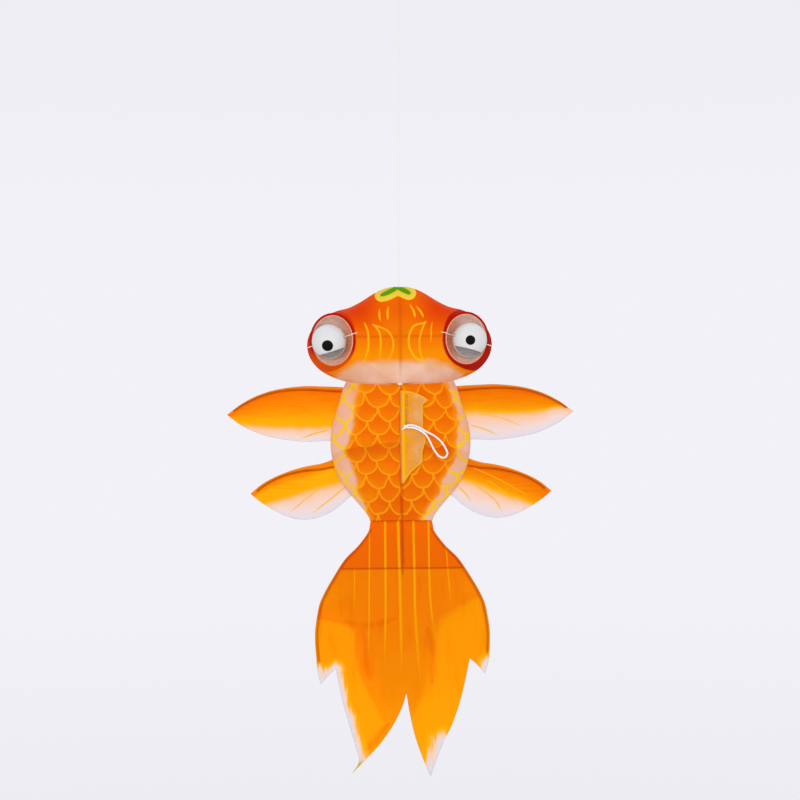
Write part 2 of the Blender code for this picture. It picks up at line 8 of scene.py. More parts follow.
import json
import math

import bmesh
import bpy
import numpy as np
from mathutils import Matrix, Vector, noise
from mathutils.geometry import delaunay_2d_cdt

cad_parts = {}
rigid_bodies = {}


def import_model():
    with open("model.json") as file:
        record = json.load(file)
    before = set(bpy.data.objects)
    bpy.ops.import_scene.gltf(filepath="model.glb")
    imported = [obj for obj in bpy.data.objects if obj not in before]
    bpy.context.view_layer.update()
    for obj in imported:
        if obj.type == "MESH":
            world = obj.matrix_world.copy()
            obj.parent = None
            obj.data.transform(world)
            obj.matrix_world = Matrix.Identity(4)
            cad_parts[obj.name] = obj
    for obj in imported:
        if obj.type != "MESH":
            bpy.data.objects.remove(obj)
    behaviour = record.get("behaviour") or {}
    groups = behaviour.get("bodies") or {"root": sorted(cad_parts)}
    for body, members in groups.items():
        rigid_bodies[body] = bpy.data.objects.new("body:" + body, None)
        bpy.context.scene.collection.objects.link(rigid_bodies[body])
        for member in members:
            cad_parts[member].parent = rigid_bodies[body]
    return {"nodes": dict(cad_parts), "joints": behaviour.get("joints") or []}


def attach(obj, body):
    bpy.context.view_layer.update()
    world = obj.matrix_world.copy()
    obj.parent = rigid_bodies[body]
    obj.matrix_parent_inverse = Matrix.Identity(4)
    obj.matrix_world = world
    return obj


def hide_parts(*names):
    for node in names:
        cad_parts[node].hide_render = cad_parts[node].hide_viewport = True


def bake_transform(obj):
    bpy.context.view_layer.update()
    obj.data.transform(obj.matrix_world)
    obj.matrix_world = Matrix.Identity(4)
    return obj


def clear_startup():
    """Removes Blender's own camera, light and cube, which are no part of the kite."""
    for thing in list(bpy.data.objects):
        if thing.type in ("CAMERA", "LIGHT") or thing.name == "Cube":
            bpy.data.objects.remove(thing)


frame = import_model()
clear_startup()
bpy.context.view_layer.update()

MM = 0.001
HANDS = ((-1, "left"), (1, "right"))
FISH = "fish_frame"

# Stock sizes, as in the frame.
SILK = 0.4
HOOP_RADIUS = 1.0
WRAP_RADIUS = 1.65  # silk folded over an eye hoop
EDGE_STANDOFF = 2.2  # half the thickness of a silk edge folded round a rib
SPAR_CLEARANCE = 3.0  # silk this near the head's cross spar passes in front of it

# Spacing of the points of a mesh.
GRAIN = 1.8
EDGE_GRAIN = 2.2

# Head: (x, z) outline of the right half, then (z, y) of its midlines.
HEAD_OUTLINE = [
    (0, 0.8), (6, 0.4), (13, -1.0), (22, -4), (32, -9.5), (44, -17), (57.5, -23.5),
    (71, -27), (86, -33.5), (97, -44), (103.5, -56), (105, -67), (102, -79), (94, -90),
    (83, -98), (69, -104), (55, -107.5), (38, -109.3), (20, -110), (0, -110.2),
]
THROAT_HALF_WIDTH = 62.0
THROAT_DEPTH = 20.0
THROAT_TOP_Z = -100.0
THROAT_Z = -110.0
RIDGE_PEAK = 4.3  # how far the ridge stands in front of the throat's edge
RIDGE = [
    (0.8, -3.4), (-3, -6), (-8, -10.5), (-20, -23), (-35, -33.5), (-57, -40), (-85, -35), (-110.2, -26.5),
    (-140, -27), (-180, -28), (-215, -24.5), (-240, -15), (-258, -6.5), (-268, -2.4),
]
HEAD_BACK = [(0.8, 3.4), (-3, 5.5), (-20, 19), (-57, 31), (-90, 20), (-110.2, -22)]
BELLY_MIDDLE = (66.0, 29.0, -58.0)

EYE_CENTRE = (76.0, -27.0, -60.5)
EYE_YAW = 20.0
EYE_HALF_WIDTH = 25.0
EYE_HALF_HEIGHT = 28.3
SOCKET_DEPTH = 23.0
BALL_RADIUS = 19.5
BALL_WALL = 0.4
SHELL_CUT = 11.2
SHELL_GAP = 0.5
BALL_TURN = {"left": 4.0, "right": -4.0}  # degrees about the axle, the way the front goes down
PUPIL_RADIUS = {"left": 6.3, "right": 5.4}
PUPIL_PLACE = {"left": (-5.0, 3.6), "right": (-0.7, -6.0)}

# Body: (z, half width), then (z, y) of the belly.
BODY_WIDTH = [
    (-108, 61), (-118, 65.5), (-132, 69.5), (-150, 75), (-163, 78), (-179, 79.5), (-194, 78),
    (-208, 74.5), (-226, 65.5), (-242, 53), (-255, 42), (-264, 36), (-270, 35),
]
SHOULDER_Z = -108.6
TUCK = 13.0  # over this height the body's top slips in behind the head's lower edge
BODY_END_Z = -267.5
BELLY_DEPTH = [(-176, 26), (-200, 25), (-226, 18), (-250, 8.5), (-262, 4), (-268, 2.4)]
BELLY_TOP_Z = -177.0
BELLY_ARCH = 8.0
SCALE_PITCH = 25.5
SCALE_DEPTH = 15.4

# Side fins: (x, z) of the right-hand ones.
UPPER_LEADING = [
    (67.5, -113.5), (90, -112.4), (112, -112), (139, -115), (162, -121.5), (182, -131.5), (199, -144),
]
UPPER_TRAILING = [
    (83.5, -175), (100, -175.8), (115, -175.5), (140, -172), (160, -167), (183, -156), (199, -144),
]
UPPER_SPAR = [(73, -118.3), (112, -116), (140, -118), (162, -124), (180, -132.5), (191, -139.5)]
LOWER_LEADING = [
    (81.5, -198), (93, -201.5), (108, -204), (122, -207.5), (135, -212), (149, -218), (161, -225),
    (173, -235),
]
LOWER_TRAILING = [
    (60.5, -241), (70, -249.5), (81, -257), (92, -262), (106, -265.3), (120, -264.6), (135, -260),
    (150, -252), (163, -243.5), (173, -235),
]
LOWER_SPAR = [
    (84.5, -206.5), (93, -208), (111, -209.5), (130, -213.5), (145, -219), (158, -226.5), (165, -232),
]
SPAR_TUCK = 9.0  # how far a fin spar's end is tucked in under the side of the body
FIN_REACH = 4.3  # how far a fin's silk reaches in from its hinge line to the side of the body

# Back fin and bridle: (distance from the hinge, z).
DORSAL_HINGE = (2.3, -30.0, -170.0)
DORSAL_LEAN = 9.0
DORSAL_OUTER = [
    (0.6, -118), (12, -120), (23, -124), (30.5, -129.5), (23.5, -135), (24, -147), (24, -160), (27, -175),
    (22.8, -189), (23, -199.5), (15.5, -206), (8.6, -212), (0.6, -224),
]
BRIDLE_LIFT = 3.0
BRIDLE_KNOT = (3.2, -159.2)
BRIDLE_PATH = [
    (5, -157.9), (9, -157.5), (14, -158.4), (20, -160.9), (25.5, -164.3), (37, -170.6), (45, -178),
    (50.3, -187.1), (50.8, -191.6), (47.4, -195), (41.6, -193.3), (35.8, -185.9), (31.3, -176.8),
    (28, -170.8), (24.6, -166.9), (19, -163.2), (13, -160.8), (8.5, -160.2), (5, -160.2),
]

# Tail: (x, z), each side's lobes apart.
TAIL_TOP_Z = -266.9
TAIL_EDGE = [
    (35.0, TAIL_TOP_Z), (36, -271.5), (38.5, -281), (50.6, -297), (66, -312.6), (81.8, -337),
    (90.2, -352),
    (95.7, -365.5), (100, -390), (100.4, -409), (99.2, -425.2),
]
SHORT_LOBE_OUT = {
    -1: [(98.9, -432), (97.5, -443), (94.3, -455)],
    1: [(98.8, -429), (97.2, -436), (94.3, -444.5)],
}
SHORT_LOBE_IN = {
    -1: [(94.3, -455), (86, -445), (77.2, -437.5)],
    1: [(94.3, -444.5), (86, -434.5), (77.2, -427)],
}
LONG_LOBE_OUT = {
    -1: [(77.2, -437.5), (70, -473), (63.5, -497), (56, -524), (51.5, -543), (59.5, -556)],
    1: [(77.2, -427), (67, -471), (56.5, -502), (47.5, -519.5), (38.5, -541), (30.5, -562)],
}
LONG_LOBE_IN = {
    -1: [(59.5, -556), (33, -531), (21, -516.5), (10, -500), (1.5, -483), (-4, -466)],
    1: [(30.5, -562), (20.5, -537), (12.5, -513), (7, -487), (4, -466)],
}
UNDER_TAIL = [
    (35, -276), (50, -301), (66, -318), (80, -341), (90, -362), (70, -378), (49, -391), (34, -425),
    (22, -468), (10, -490),
]
UNDER_NOTCH = [(10, -490), (5.5, -474), (0, -452)]
UNDER_TAIL_BEHIND = 8.4
BAR_Z = -322.6

# What the photographer set up.
ROLL = math.radians(0.6)
CAMERA_PLACE = (0, -2.2, -0.129)
LENS = 86.1
AIM = Vector((0, 0, -0.25))
LAMPS = [  # name, place, size in metres, power in watts
    ("key", (-0.5, -2.4, 0.35), 0.9, 14),
    ("fill", (0.9, -2.3, -0.1), 0.9, 5.5),
    ("back", (0, 1.5, 1.3), 2.2, 12),
]
DOME_RADIUS = 3200.0
DOME_CENTRE_Z = -260.0
THREAD_TOP = 45.0  # where the hanging thread ends and the stage's thread goes on


# ---------------------------------------------------------------- curves and profiles


def smooth(points, steps=4):
    """Points along a Catmull-Rom curve through the given points, ends included."""
    knots = np.array(points, float)
    ends = np.vstack([2 * knots[0] - knots[1], knots, 2 * knots[-1] - knots[-2]])
    made = []
    for a, b, c, d in zip(ends, ends[1:], ends[2:], ends[3:]):
        for step in range(steps):
            t = step / steps
            bent = (2 * a - 5 * b + 4 * c - d) * t**2 + (3 * b - a - 3 * c + d) * t**3
            made.append(0.5 * (2 * b + (c - a) * t + bent))
    return np.array(made + [knots[-1]])


def evenly(path, count):
    """The path resampled to this many points, equally far apart."""
    gone = np.concatenate([[0], np.cumsum(np.linalg.norm(np.diff(path, axis=0), axis=1))])
    wanted = np.linspace(0, gone[-1], count)
    return np.stack([np.interp(wanted, gone, column) for column in path.T], axis=1)


def spaced(points, step=GRAIN):
    """A smooth curve through the points, resampled to about one point per step."""
    path = smooth(points, 8)
    length = np.linalg.norm(np.diff(path, axis=0), axis=1).sum()
    return evenly(path, max(2, round(length / step) + 1))


def at(profile, z):
    """The value of a (z, value) profile at height z, on a smooth curve through its points."""
    line = smooth(profile, 4)
    line = line[np.argsort(line[:, 0])]
    return np.interp(z, line[:, 0], line[:, 1])


def ease(value, low, high):
    """0 below low, 1 above high, and a smooth rise between them."""
    t = np.clip((np.asarray(value, float) - low) / (high - low), 0, 1)
    return t * t * (3 - 2 * t)


def ripple(points, size, height, seed=0.0):
    """Smooth random heights over 3-D points, with features of about this size."""
    shift = Vector((seed, seed, seed))
    return np.array([noise.noise(Vector(point) / size + shift) for point in points]) * height


def round_angles(count):
    """This many angles, equally spaced round a full turn."""
    return np.linspace(0, 2 * math.pi, count + 1)[:-1]


# ---------------------------------------------------------------- brush strokes


def brush(points, strokes):
    """For every point's (x, z): signed and plain distance to the nearest stroke, and its half width there.

    A stroke is (line, half width, shares of that width at its two ends).
    """
    flat = points[:, [0, 2]]
    rows = np.arange(len(points))
    best, signed = np.full((2, len(points)), 1e3)
    width = np.zeros(len(points))
    for line, half, (first, last) in strokes:
        path = smooth(line, 6)
        start, step = path[:-1], np.diff(path, axis=0)
        offset = flat[:, None] - start
        along = np.clip((offset * step).sum(2) / (step**2).sum(1), 0, 1)
        far = np.linalg.norm(offset - along[..., None] * step, axis=2)
        near = far.argmin(axis=1)
        distance = far[rows, near]
        cross = step[near, 0] * offset[rows, near, 1] - step[near, 1] * offset[rows, near, 0]
        part = (near + along[rows, near]) / len(step)
        taper = np.minimum(1, first + (1 - first) * part * 4)
        taper = taper * np.minimum(1, last + (1 - last) * (1 - part) * 4)
        won = distance - half * taper < best - width
        best[won] = distance[won]
        width[won] = (half * taper)[won]
        signed[won] = np.copysign(distance, cross)[won]
    return np.stack([signed, best, width], axis=1)


# ---------------------------------------------------------------- meshes


def finished(
    name, verts, faces, material, body, stands_for=(), slot=None, fields=None, thickness=0.0, weld=False
):
    """A smooth-shaded piece from vertices in millimetres, riding on a body unless body is None."""
    data = bpy.data.meshes.new(name)
    data.from_pydata((np.asarray(verts, float) * MM).tolist(), [], [list(map(int, f)) for f in faces])
    if weld:
        mesh = bmesh.new()
        mesh.from_mesh(data)
        bmesh.ops.remove_doubles(mesh, verts=mesh.verts, dist=0.02 * MM)
        bmesh.ops.recalc_face_normals(mesh, faces=mesh.faces)
        mesh.to_mesh(data)
        mesh.free()
    data.validate()
    data.shade_smooth()
    data.materials.append(material)
    keep_fields(data, fields)
    made = bpy.data.objects.new(name, data)
    bpy.context.scene.collection.objects.link(made)
    if thickness:
        shell = made.modifiers.new("thickness", "SOLIDIFY")
        shell.thickness = thickness * MM
        shell.offset = 0.0
    if body:
        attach(made, body)
    if stands_for:
        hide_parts(*stands_for)
    return made


def keep_fields(data, fields):
    """Stores the rest coordinates and each field on the mesh's points; a list of strokes is brushed."""
    rest = np.zeros(len(data.vertices) * 3, np.float32)
    data.vertices.foreach_get("co", rest)
    points = rest.reshape(-1, 3).astype(float) / MM
    found = {"rest": points}
    for name, field in (fields or {}).items():
        found[name] = brush(points, field) if isinstance(field, list) else field(points)
    for name, values in found.items():
        kind, key = ("FLOAT_VECTOR", "vector") if values.ndim == 2 else ("FLOAT", "value")
        layer = data.attributes.new(name, kind, "POINT")
        layer.data.foreach_set(key, values.astype(np.float32).ravel())


def grid_faces(rows, across, ring=False):
    """Quads of a grid of rows by across points, closed round when ring is set."""
    wide = across if ring else across - 1
    made = []
    for i in range(rows - 1):
        for j in range(wide):
            k = (j + 1) % across
            made.append((i * across + j, i * across + k, (i + 1) * across + k, (i + 1) * across + j))
    return made


def turned(faces, shift=0):
    """The faces turned over, with their point numbers moved on."""
    return [tuple(shift + i for i in reversed(face)) for face in faces]


def mirrored(points, faces):
    """The points and faces together with their mirror image across x = 0."""
    return np.vstack([points, points * (-1, 1, 1)]), faces + turned(faces, len(points))


def sheet(name, grid, material, body, stands_for, slot, fields=None, ring=False, over=False):
    """A silk sheet over a grid of points, with its faces turned over when over is set."""
    faces = grid_faces(*grid.shape[:2], ring)
    if over:
        faces = turned(faces)
    return finished(name, grid.reshape(-1, 3), faces, material, body, stands_for, slot, fields, SILK)


def fill(outline, step=GRAIN):
    """Points and triangles that fill a flat outline of (x, z) points."""
    low, high = outline.min(0), outline.max(0)
    rows = np.arange(low[1], high[1], step * 0.87)
    inner = []
    for number, z in enumerate(rows):
        for x in np.arange(low[0] + step / 2 * (number % 2), high[0], step):
            inner.append((x, z))
    inner = np.array(inner)
    ring = np.vstack([outline, outline[:1]])
    start, along = ring[:-1], np.diff(ring, axis=0)
    near = np.empty(len(inner))
    for i, point in enumerate(inner):
        t = np.clip(((point - start) * along).sum(1) / (along**2).sum(1), 0, 1)
        near[i] = np.linalg.norm(point - start - t[:, None] * along, axis=1).min()
    inner = inner[near > step * 0.45]
    count = len(outline)
    edges = [(i, (i + 1) % count) for i in range(count)]
    given = [Vector(p) for p in np.vstack([outline, inner])]
    verts, _, faces, *_ = delaunay_2d_cdt(given, edges, [], 1, 1e-4)
    return np.array([tuple(v) for v in verts]), faces


def panel(name, outline, material, body, lift=None, **rest):
    """A silk panel inside a flat outline; lift gives each (x, z) its y."""
    flat, faces = fill(outline)
    depth = lift(flat[:, 0], flat[:, 1]) if lift else np.zeros(len(flat))
    verts = np.stack([flat[:, 0], depth, flat[:, 1]], axis=1)
    return finished(name, verts, faces, material, body, thickness=SILK, **rest)


def tube(path, radius, sides=12, closed=False, lobes=0, twist=0.0):
    """Points and faces of a tube; lobes and twist (turns per mm) make it a laid cord."""
    path = np.array(path, float)
    count = len(path)
    ahead = np.roll(path, -1, 0) - np.roll(path, 1, 0)
    if not closed:
        ahead[0], ahead[-1] = path[1] - path[0], path[-1] - path[-2]
    ahead /= np.linalg.norm(ahead, axis=1)[:, None]
    gone = np.concatenate([[0], np.cumsum(np.linalg.norm(np.diff(path, axis=0), axis=1))])
    side = np.cross(ahead[0], (0.31, 0.87, 0.38))
    angle = round_angles(sides)[:, None]
    verts = []
    for i in range(count):
        side = side - ahead[i] * side.dot(ahead[i])
        side /= np.linalg.norm(side)
        other = np.cross(ahead[i], side)
        swell = 1 + 0.16 * np.cos(lobes * angle - 2 * math.pi * twist * gone[i]) if lobes else 1.0
        verts.append(path[i] + radius * swell * (side * np.cos(angle) + other * np.sin(angle)))
    faces = turned(grid_faces(count, sides, ring=True))
    if closed:
        last = (count - 1) * sides
        faces += [(last + (j + 1) % sides, last + j, j, (j + 1) % sides) for j in range(sides)]
    else:
        faces += [tuple(range(sides)), tuple(reversed(range((count - 1) * sides, count * sides)))]
    return np.vstack(verts), faces


def cord(name, path, radius, sides, cotton, body, stands_for=(), closed=False, lobes=3, twist=0.22):
    """A laid cord along a path."""
    verts, faces = tube(path, radius, sides, closed, lobes, twist)
    finished(name, verts, faces, cotton, body, stands_for, "string")


def joint(name):
    """The pivot in millimetres, the axis and the two bodies of a joint of the frame."""
    found = next(j for j in frame["joints"] if j["name"] == name)
    return np.array(found["pos_m"]) / MM, np.array(found["axis"]), (found["parent"], found["child"])


def bend(made):
    """Bakes a sheet's placement into its points."""
    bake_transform(made)


# ---------------------------------------------------------------- paint and finishes


def srgb(red, green, blue):
    """A linear colour from its everyday 0 to 255 values."""
    made = []
    for part in (red, green, blue):
        part /= 255
        made.append(part / 12.92 if part <= 0.04045 else ((part + 0.055) / 1.055) ** 2.4)
    return (*made, 1.0)


def shader_node(tree, kind, inputs=(), **settings):
    """A new shader node; inputs lists (name or number, then a number, colour, Value or socket)."""
    node = tree.nodes.new("ShaderNode" + kind)
    for key, value in settings.items():
        setattr(node, key, value)
    for key, value in inputs:
        value = value.socket if isinstance(value, Value) else value
        if isinstance(value, bpy.types.NodeSocket):
            tree.links.new(value, node.inputs[key])
        else:
            node.inputs[key].default_value = value
    return node


def operator(operation):
    """A method of Value that does one operation of Blender's Math node."""
    return lambda self, *others: self.work(operation, *others)


class Value:
    """A number worked out by a material's nodes; arithmetic on it adds nodes."""

    def __init__(self, tree, socket):
        self.tree = tree
        self.socket = socket

    def work(self, operation, *others):
        node = shader_node(self.tree, "Math", enumerate((self, *others)), operation=operation)
        return Value(self.tree, node.outputs[0])

    __add__ = operator("ADD")
    __sub__ = operator("SUBTRACT")
    __mul__ = operator("MULTIPLY")
    __truediv__ = operator("DIVIDE")
    __abs__ = operator("ABSOLUTE")
    __pow__ = operator("POWER")
    most = operator("MAXIMUM")

    def ease(self, low, high, start=0.0, end=1.0):
        """start at low, end at high, and a smooth change between them; low may be the larger."""
        inputs = enumerate((self, low, high, start, end))
        node = shader_node(self.tree, "MapRange", inputs, interpolation_type="SMOOTHSTEP")
        return Value(self.tree, node.outputs[0])


class Paint:
    """One material under construction: a colour laid on coat by coat, then a finish."""

    def __init__(self, name):
        self.material = bpy.data.materials.new(name)
        self.material.use_nodes = True
        self.tree = self.material.node_tree
        self.tree.nodes.clear()
        self.colour = None
        self.place = self.layer("rest")
        self.x, self.y, self.z = self.parts(self.place)

    def node(self, kind, inputs=(), **settings):
        return shader_node(self.tree, kind, inputs, **settings)

    def layer(self, name, output="Vector"):
        return self.node("Attribute", attribute_name=name).outputs[output]

    def number(self, name):
        return Value(self.tree, self.layer(name, "Fac"))

    def parts(self, socket):
        return [Value(self.tree, out) for out in self.node("SeparateXYZ", [(0, socket)]).outputs]

    def use_own_place(self):
        """Ties the noise to the object's own millimetres; a frame node keeps no rest attribute."""
        place = self.node("TexCoord").outputs["Object"]
        self.place = self.node("VectorMath", [(0, place), ("Scale", 1 / MM)], operation="SCALE").outputs[0]

    def cloud(self, size, stretch=(1, 1, 1), detail=2.0, shift=0.0):
        """Noise from 0 to 1 with features of about this many millimetres, stretched along an axis."""
        inputs = [(0, self.place), (1, [1 / (size * part) for part in stretch]), (2, (shift, shift, shift))]
        place = self.node("VectorMath", inputs, operation="MULTIPLY_ADD").outputs[0]
        made = self.node("TexNoise", [("Vector", place), ("Scale", 1.0), ("Detail", detail)])
        return Value(self.tree, made.outputs["Fac"])

    def over(self, below, above, share, kind="MIX"):
        """One colour, a socket or 0 to 255 values, laid over another by a share from 0 to 1."""
        below, above = (srgb(*colour) if isinstance(colour, tuple) else colour for colour in (below, above))
        inputs = [(0, share), (6, below), (7, above)]
        return self.node("Mix", inputs, data_type="RGBA", blend_type=kind).outputs[2]

    def base(self, below, above, share):
        """The first two colours."""
        self.colour = self.over(below, above, share)

    def coat(self, colour, share, kind="MIX"):
        """Another colour on top of those so far."""
        self.colour = self.over(self.colour, colour, share, kind)

    def stroke(self, name, soft=0.45):
        """The mask of a crisp brush field made by brush()."""
        signed, distance, width = self.parts(self.layer(name))
        edge = abs(signed) - width
        near = distance - width
        return edge.ease(soft, -soft) * near.ease(GRAIN * 1.3, GRAIN * 0.7)

    def wash(self, name, power=1.0):
        """The mask of a soft brush field: full on its line, gone at its half width."""
        _, distance, width = self.parts(self.layer(name))
        return (distance / width.most(0.01)).ease(1.0, 0.0) ** power

    def bump(self, height, strength, distance=0.2):
        inputs = [("Strength", strength), ("Distance", distance * MM), ("Height", height)]
        return self.node("Bump", inputs).outputs[0]

    def shader(self, roughness, specular, normal, sheen=0.0):
        inputs = [
            ("Base Color", self.colour), ("Roughness", roughness), ("Specular IOR Level", specular),
            ("Sheen Weight", sheen), ("Normal", normal),
        ]
        return self.node("BsdfPrincipled", inputs).outputs[0]

    def close(self, shader):
        self.node("OutputMaterial", [("Surface", shader)])
        return self.material

    def silk(self, thin=0.35):
        """Painted silk: a fine plain weave, soft creases, and light coming through the cloth."""
        warp = self.cloud(0.5, (1, 1, 6), 1.0)
        weft = self.cloud(0.5, (6, 1, 1), 1.0, 3.0)
        crease = self.cloud(14, (1, 1, 1.6), 3.0, 7.0)
        weave = self.bump(warp + weft + crease * 2.0, 0.35)
        self.coat((236, 226, 210), (warp * weft).ease(0.2, 0.5) * 0.12, "MULTIPLY")
        front = self.shader(0.8, 0.04, weave)
        through = self.node("BsdfTranslucent", [("Color", self.colour)]).outputs[0]
        return self.close(self.node("MixShader", [(0, thin), (1, front), (2, through)]).outputs[0])


RED = (232, 62, 2)
RED_ORANGE = (243, 98, 2)
ORANGE = (250, 128, 4)
RIM_RED = (186, 22, 0)
PEACH = (252, 196, 160)


def head_paint(name):
    """The head: an airbrushed red brow, orange cheeks, a pale throat, red rims and yellow strokes."""
    p = Paint(name)
    wide = abs(p.x)
    mottle = p.cloud(22, detail=3.0)
    streak = p.cloud(7, (2.5, 1, 1), 3.0, 6.0)
    high = p.z + mottle * 12 - 6
    p.base((252, 152, 3), (248, 126, 2), high.ease(-82, -58))
    p.coat((244, 104, 2), high.ease(-56, -24) * 0.9)
    brow = wide.ease(10, 46) * high.ease(-64, -26)
    lobe = wide.ease(84, 104) * 0.6 * high.ease(-96, -70)
    p.coat(RED, brow.most(lobe) * 0.92)
    bottom = (wide - 30).most(0) ** 2 * -0.0085 - 86
    below = (p.z - bottom + (streak - 0.5) * 7 + (mottle - 0.5) * 4).ease(5.0, -4.0)
    pale = p.over((240, 190, 154), (245, 204, 178), mottle.ease(0.35, 0.7))
    pale = p.over(pale, (240, 186, 104), (p.z - bottom).ease(-9, 1) * streak.ease(0.35, 0.65) * 0.5)
    p.coat(pale, below)
    p.coat(RED_ORANGE, p.wash("edge_line") * (below * -0.45 + 0.65))
    shade = p.wash("shade") * p.z.ease(-100, -84, 0.35, 1.0)
    p.coat((214, 74, 2), shade * 0.4)
    strokes = p.stroke("strokes", 0.6).most(p.stroke("strokes_between", 0.6))
    p.coat((255, 192, 20), strokes * 0.9)
    blossom(p)
    eye_rim(p, wide)
    return p.silk(0.2)


def blossom(p):
    """Two green leaves at the nose, outlined in yellow over a beige ground."""
    _, distance, width = p.parts(p.layer("leaves"))
    away = distance - width
    p.coat((255, 216, 20), away.ease(6.8, 5.8))
    p.coat((240, 206, 120), away.ease(4.2, 3.2) * away.ease(1.2, 2.2))
    p.coat((240, 214, 10), away.ease(2.2, 1.4))
    p.coat((96, 164, 22), away.ease(0.6, -0.3))


def eye_rim(p, wide):
    """Dark red silk folded over the eye hoop, with a thin peach line inside."""
    yaw = math.cos(math.radians(EYE_YAW))
    across = (wide - EYE_CENTRE[0]) / (EYE_HALF_WIDTH * yaw)
    up = (p.z - EYE_CENTRE[2]) / EYE_HALF_HEIGHT
    outside = ((across ** 2 + up ** 2) ** 0.5 - 1) * 26
    band = across.ease(-0.5, 0.9, 3.8, 10.0) + up.ease(0.2, 1.1, 0, 2.6)
    left = p.x.ease(0, -1)
    low_left = left * up.ease(-0.3, -0.9)
    red = (outside - band).ease(1.2, -1.0)
    rim = p.over(RIM_RED, RED, left * outside.ease(1.8, 4.2) * 0.7)
    rim = p.over(rim, RED_ORANGE, low_left * 0.75)
    p.coat(rim, red)
    p.coat(PEACH, outside.ease(0.5, 0.0))


def scale_paint(name):
    """The body: overlapping scales in orange-yellow line over airbrushed orange, pale at the sides."""
    p = Paint(name)
    drift = p.cloud(34, detail=1.0)
    hand = p.cloud(12, detail=1.0, shift=5.0)
    x = p.x + (drift - 0.5) * 9 + (hand - 0.5) * 4
    row = (p.z * -1 + (drift - 0.5) * 6 + (hand - 0.5) * 4 - 107) / SCALE_DEPTH
    number = row.work("FLOOR")
    down = row - number
    shift = number.work("MODULO", 2.0) * 0.5
    across = ((x / SCALE_PITCH + shift + 40).work("FRACT") - 0.5) * 2
    ring = (across ** 2 + down ** 2) ** 0.5
    outside = p.number("bare") + (hand - 0.5) * 9
    bare = outside.ease(-2.5, 2.5)
    thick = bare * 0.05 + 0.056
    line = (abs(ring - 0.96) - thick).ease(0.05, -0.04)
    mottle = p.cloud(26, detail=3.0, shift=2.0)
    height = down - ring.ease(0.95, 0.97)
    p.base((246, 132, 3), (251, 150, 3), mottle.ease(0.45, 0.75))
    p.coat((240, 100, 2), height.ease(0.9, -0.2) * 0.66)
    low = (p.z + mottle * 16 - 8).ease(-225, -268)
    p.coat((238, 92, 2), low * 0.5)
    pink = p.over((240, 192, 166), (246, 182, 112), mottle.ease(0.45, 0.7) * 0.8)
    p.coat((250, 160, 20), outside.ease(-9, 0) * 0.7)
    p.coat(pink, bare * 0.95)
    line_colour = p.over((255, 176, 22), (252, 206, 4), bare)
    p.coat(line_colour, line * (bare * 0.12 + 0.82))
    # Painted shade: a darker band just below the belly silk's upper edge, where its hoop lies behind the
    # back silk.
    under = p.number("belly")
    belly_hoop_shade = under.ease(-1.0, 1.0) * under.ease(26, 3)
    p.coat((206, 78, 6), belly_hoop_shade * (bare * -0.2 + 0.34))
    p.coat((214, 56, 0), p.wash("shade") * 0.75)
    return p.silk(0.2)


def pale_paint(name):
    """Unpainted silk of the underside, with orange soaking in at the edges."""
    p = Paint(name)
    mottle = p.cloud(30, detail=2.0)
    p.base((250, 218, 196), (248, 200, 166), mottle.ease(0.3, 0.8))
    wide = abs(p.x)
    p.coat(ORANGE, wide.ease(76, 106) * 0.55)
    return p.silk(0.5)


def socket_paint(name):
    """The pink lining of an eye socket, warmer on the side towards the ridge."""
    p = Paint(name)
    mottle = p.cloud(9, detail=3.0)
    p.base((255, 222, 208), (255, 202, 180), mottle.ease(0.4, 0.8))
    wide = abs(p.x)
    p.coat((255, 172, 118), wide.ease(74, 52) * 0.8)
    return p.silk(0.06)


def dorsal_paint(name):
    """The folded back fin: pale outer part, yellow outline and hatching near its base."""
    p = Paint(name)
    mottle = p.cloud(14, detail=2.0)
    out = p.x - DORSAL_HINGE[0]
    streak = p.cloud(2.2, (1.2, 1, 5), 2.0)
    base = (out + (streak - 0.5) * 12).ease(17, 8)
    p.base((234, 164, 76), (239, 179, 118), mottle.ease(0.3, 0.7))
    p.coat((240, 146, 24), base * 0.5)
    p.coat((250, 166, 4), p.stroke("hatch", 0.5))
    p.coat((254, 196, 6), p.wash("outline", 0.7))
    p.coat((120, 66, 20), p.stroke("stitches", 0.3) * 0.7)
    return p.silk(0.2)


def fin_paint(name, soon=1.0, deep=0.0):
    """A fin, orange at the spar, then amber, then near white; soon below 1 turns amber earlier, and deep
    darkens its coloured part as painted shade.
    """
    p = Paint(name)
    streak = p.cloud(2.4, (14, 1, 1), 2.0)
    mottle = p.cloud(20, detail=2.0)
    part = p.number("chord") + (mottle - 0.5) * 0.08
    p.base((249, 128, 2), (254, 156, 4), part.ease(0.0, 0.28 * soon))
    p.coat((255, 192, 10), part.ease(0.22 * soon, 0.56 * soon))
    dark = streak.ease(0.45, 0.7) * part.ease(0.6, 0.15)
    p.coat((244, 118, 2), dark * 0.45)
    bright = streak.ease(0.42, 0.2) * part.ease(0.6, 0.3)
    p.coat((255, 196, 20), bright * 0.3)
    # Painted shade: deep darkens the coloured part of the fins on the side away from the light.
    p.coat((226, 96, 0), part.ease(0.56, 0.5) * deep)
    p.coat((250, 216, 186), part.ease(0.55, 0.7))
    p.coat((244, 228, 222), part.ease(0.66, 0.88))
    p.coat((232, 230, 238), part.ease(0.84, 1.0) * 0.8)
    p.coat((250, 200, 20), p.stroke("strokes", 0.35) * 0.85)
    p.coat((252, 166, 20), p.wash("hem", 0.7) * part.ease(0.2, 0.06) * 0.8)
    p.coat((190, 60, 0), p.wash("shade", 1.4) * 0.85)
    return p.silk()


